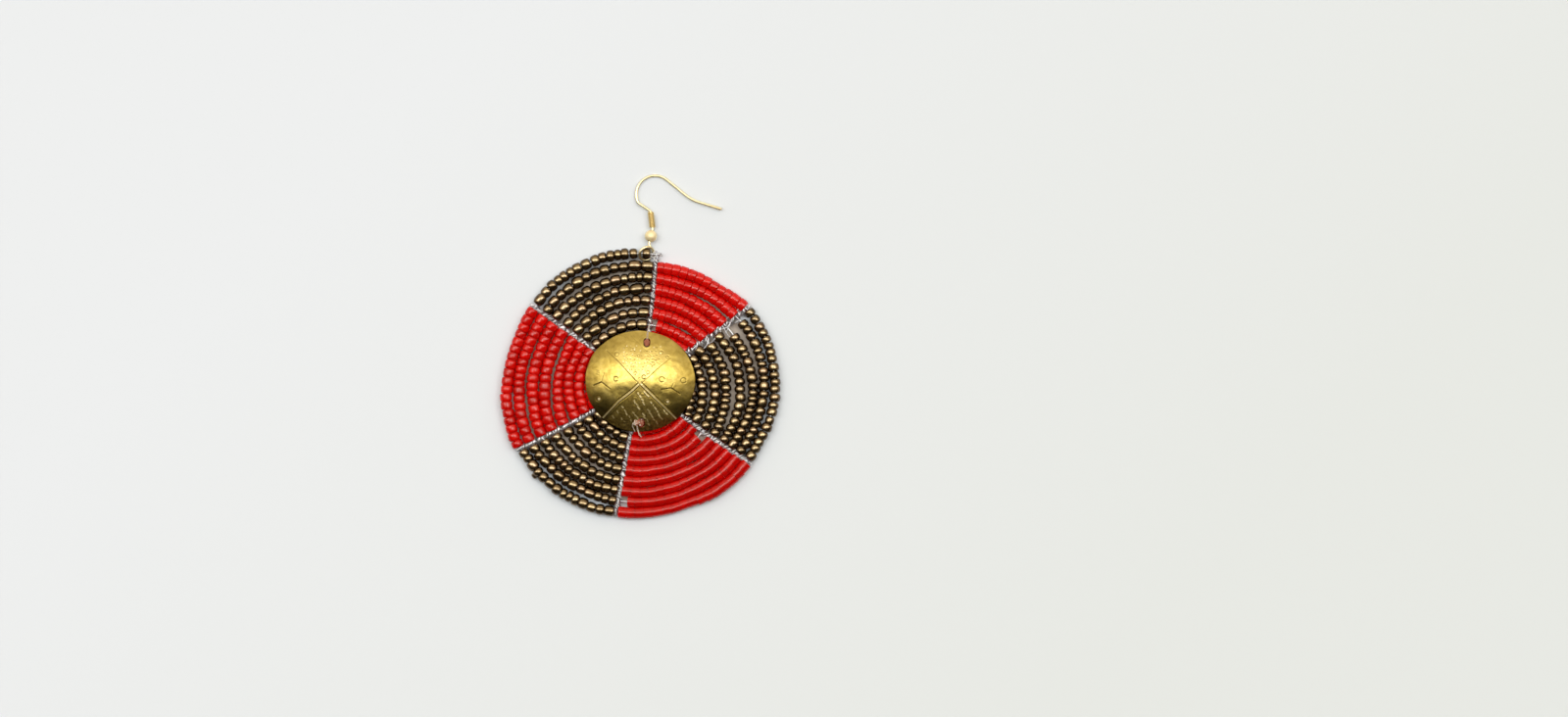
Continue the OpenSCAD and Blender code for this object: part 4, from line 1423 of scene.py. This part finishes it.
def tangle(rng, centre, size, strands, radius, squash=0.6):
    """A knot or wad: short curved fibres round one place."""
    out = []
    for q in range(strands):
        pts = []
        a = rng.uniform(0, 6.28)
        e = rng.uniform(-0.7, 0.7)
        for j in range(5):
            a += rng.uniform(0.9, 2.6)
            e = max(-0.9, min(0.9, e + rng.uniform(-0.6, 0.6)))
            r = rng.uniform(0.05, 1.0)
            pts.append((centre[0] + size[0] * r * math.cos(a), centre[1] + size[1] * r * math.sin(a),
                        centre[2] + size[2] * squash * e))
        out.append(tube(smooth_path(pts, 5), radius * rng.uniform(0.8, 1.2), 6))
    return out


def thread_material():
    m, t, b = new_material("cotton_thread")
    tone = attribute(t, "tone").outputs["Fac"]
    col = ramp_of(t, tone, [(0.0, (0.50, 0.43, 0.36)), (0.49, (0.60, 0.52, 0.44)), (0.51, (0.24, 0.060, 0.030)),
                            (1.0, (0.40, 0.140, 0.075))])
    t.links.new(col, b.inputs["Base Color"])
    b.inputs["Roughness"].default_value = 0.85
    b.inputs["Sheen Weight"].default_value = 0.3
    bump(t, b, noise_of(t, object_coords(t), 6000.0, 2.0), 0.4, 0.00005)
    return m


rng = random.Random(21)
top_hole = over_dome(660.5, 349.6, -0.10)
low_hole = over_dome(650.8, 430.5, -0.05)
groups = [  # parts and the tone that picks pale or reddish brown
    (fibre_bundle(rng, [over_dome(660.5, 350.5, -0.3), over_dome(660.6, 346, 0.12), over_dome(661.0, 341, 0.15),
                        over_dome(661.8, 337.4, 0.18), over_dome(662.2, 335.5, 0.2), seen(662.6, 331.5, 2.9)], 0.040, 7, 0.17), 0.2),
    (tangle(rng, top_hole, (0.66, 1.0, 0.5), 26, 0.13), 0.85),
    (tangle(rng, (low_hole[0] - 0.1, low_hole[1] + 0.10, low_hole[2] + 0.10), (0.85, 1.05, 0.32), 22, 0.10), 0.80),
    # part of the knot's thread, and painted shade: a dark tangle sunk into the lower hole stands in for the hole's
    # shade
    (tangle(rng, (low_hole[0] + 0.95, low_hole[1] - 0.10, low_hole[2] - 0.30), (0.75, 1.05, 0.25), 26, 0.12), 0.58),
    (tangle(rng, (low_hole[0] - 0.3, low_hole[1] - 0.20, low_hole[2] + 0.22), (0.95, 0.85, 0.25), 6, 0.060), 0.25),
    (fibre_bundle(rng, [over_dome(650.5, 430.5, -0.2), over_dome(650.4, 435, 0.2), over_dome(651.0, 439, 0.22), seen(652.6, 443.0, 3.2),
                        seen(654.8, 446.0, 3.0)], 0.050, 4, 0.12), 0.35),
    (fibre_bundle(rng, [over_dome(647.6, 429.5, 0.0), over_dome(646.0, 433, 0.2), over_dome(646.2, 436.5, 0.22), seen(648.4, 440.5, 3.0)],
                  0.050, 2, 0.08), 0.3)]
parts, tones = [], []
for group, tone in groups:
    for g in group:
        parts.append(g)
        tones.append(np.full(len(g[0]), min(0.99, max(0.01, tone + rng.uniform(-0.12, 0.12)))))
threads = link_tubes("sewing_threads", parts, {"tone": np.concatenate(tones)})
finish_piece(threads, thread_material(), "thread")
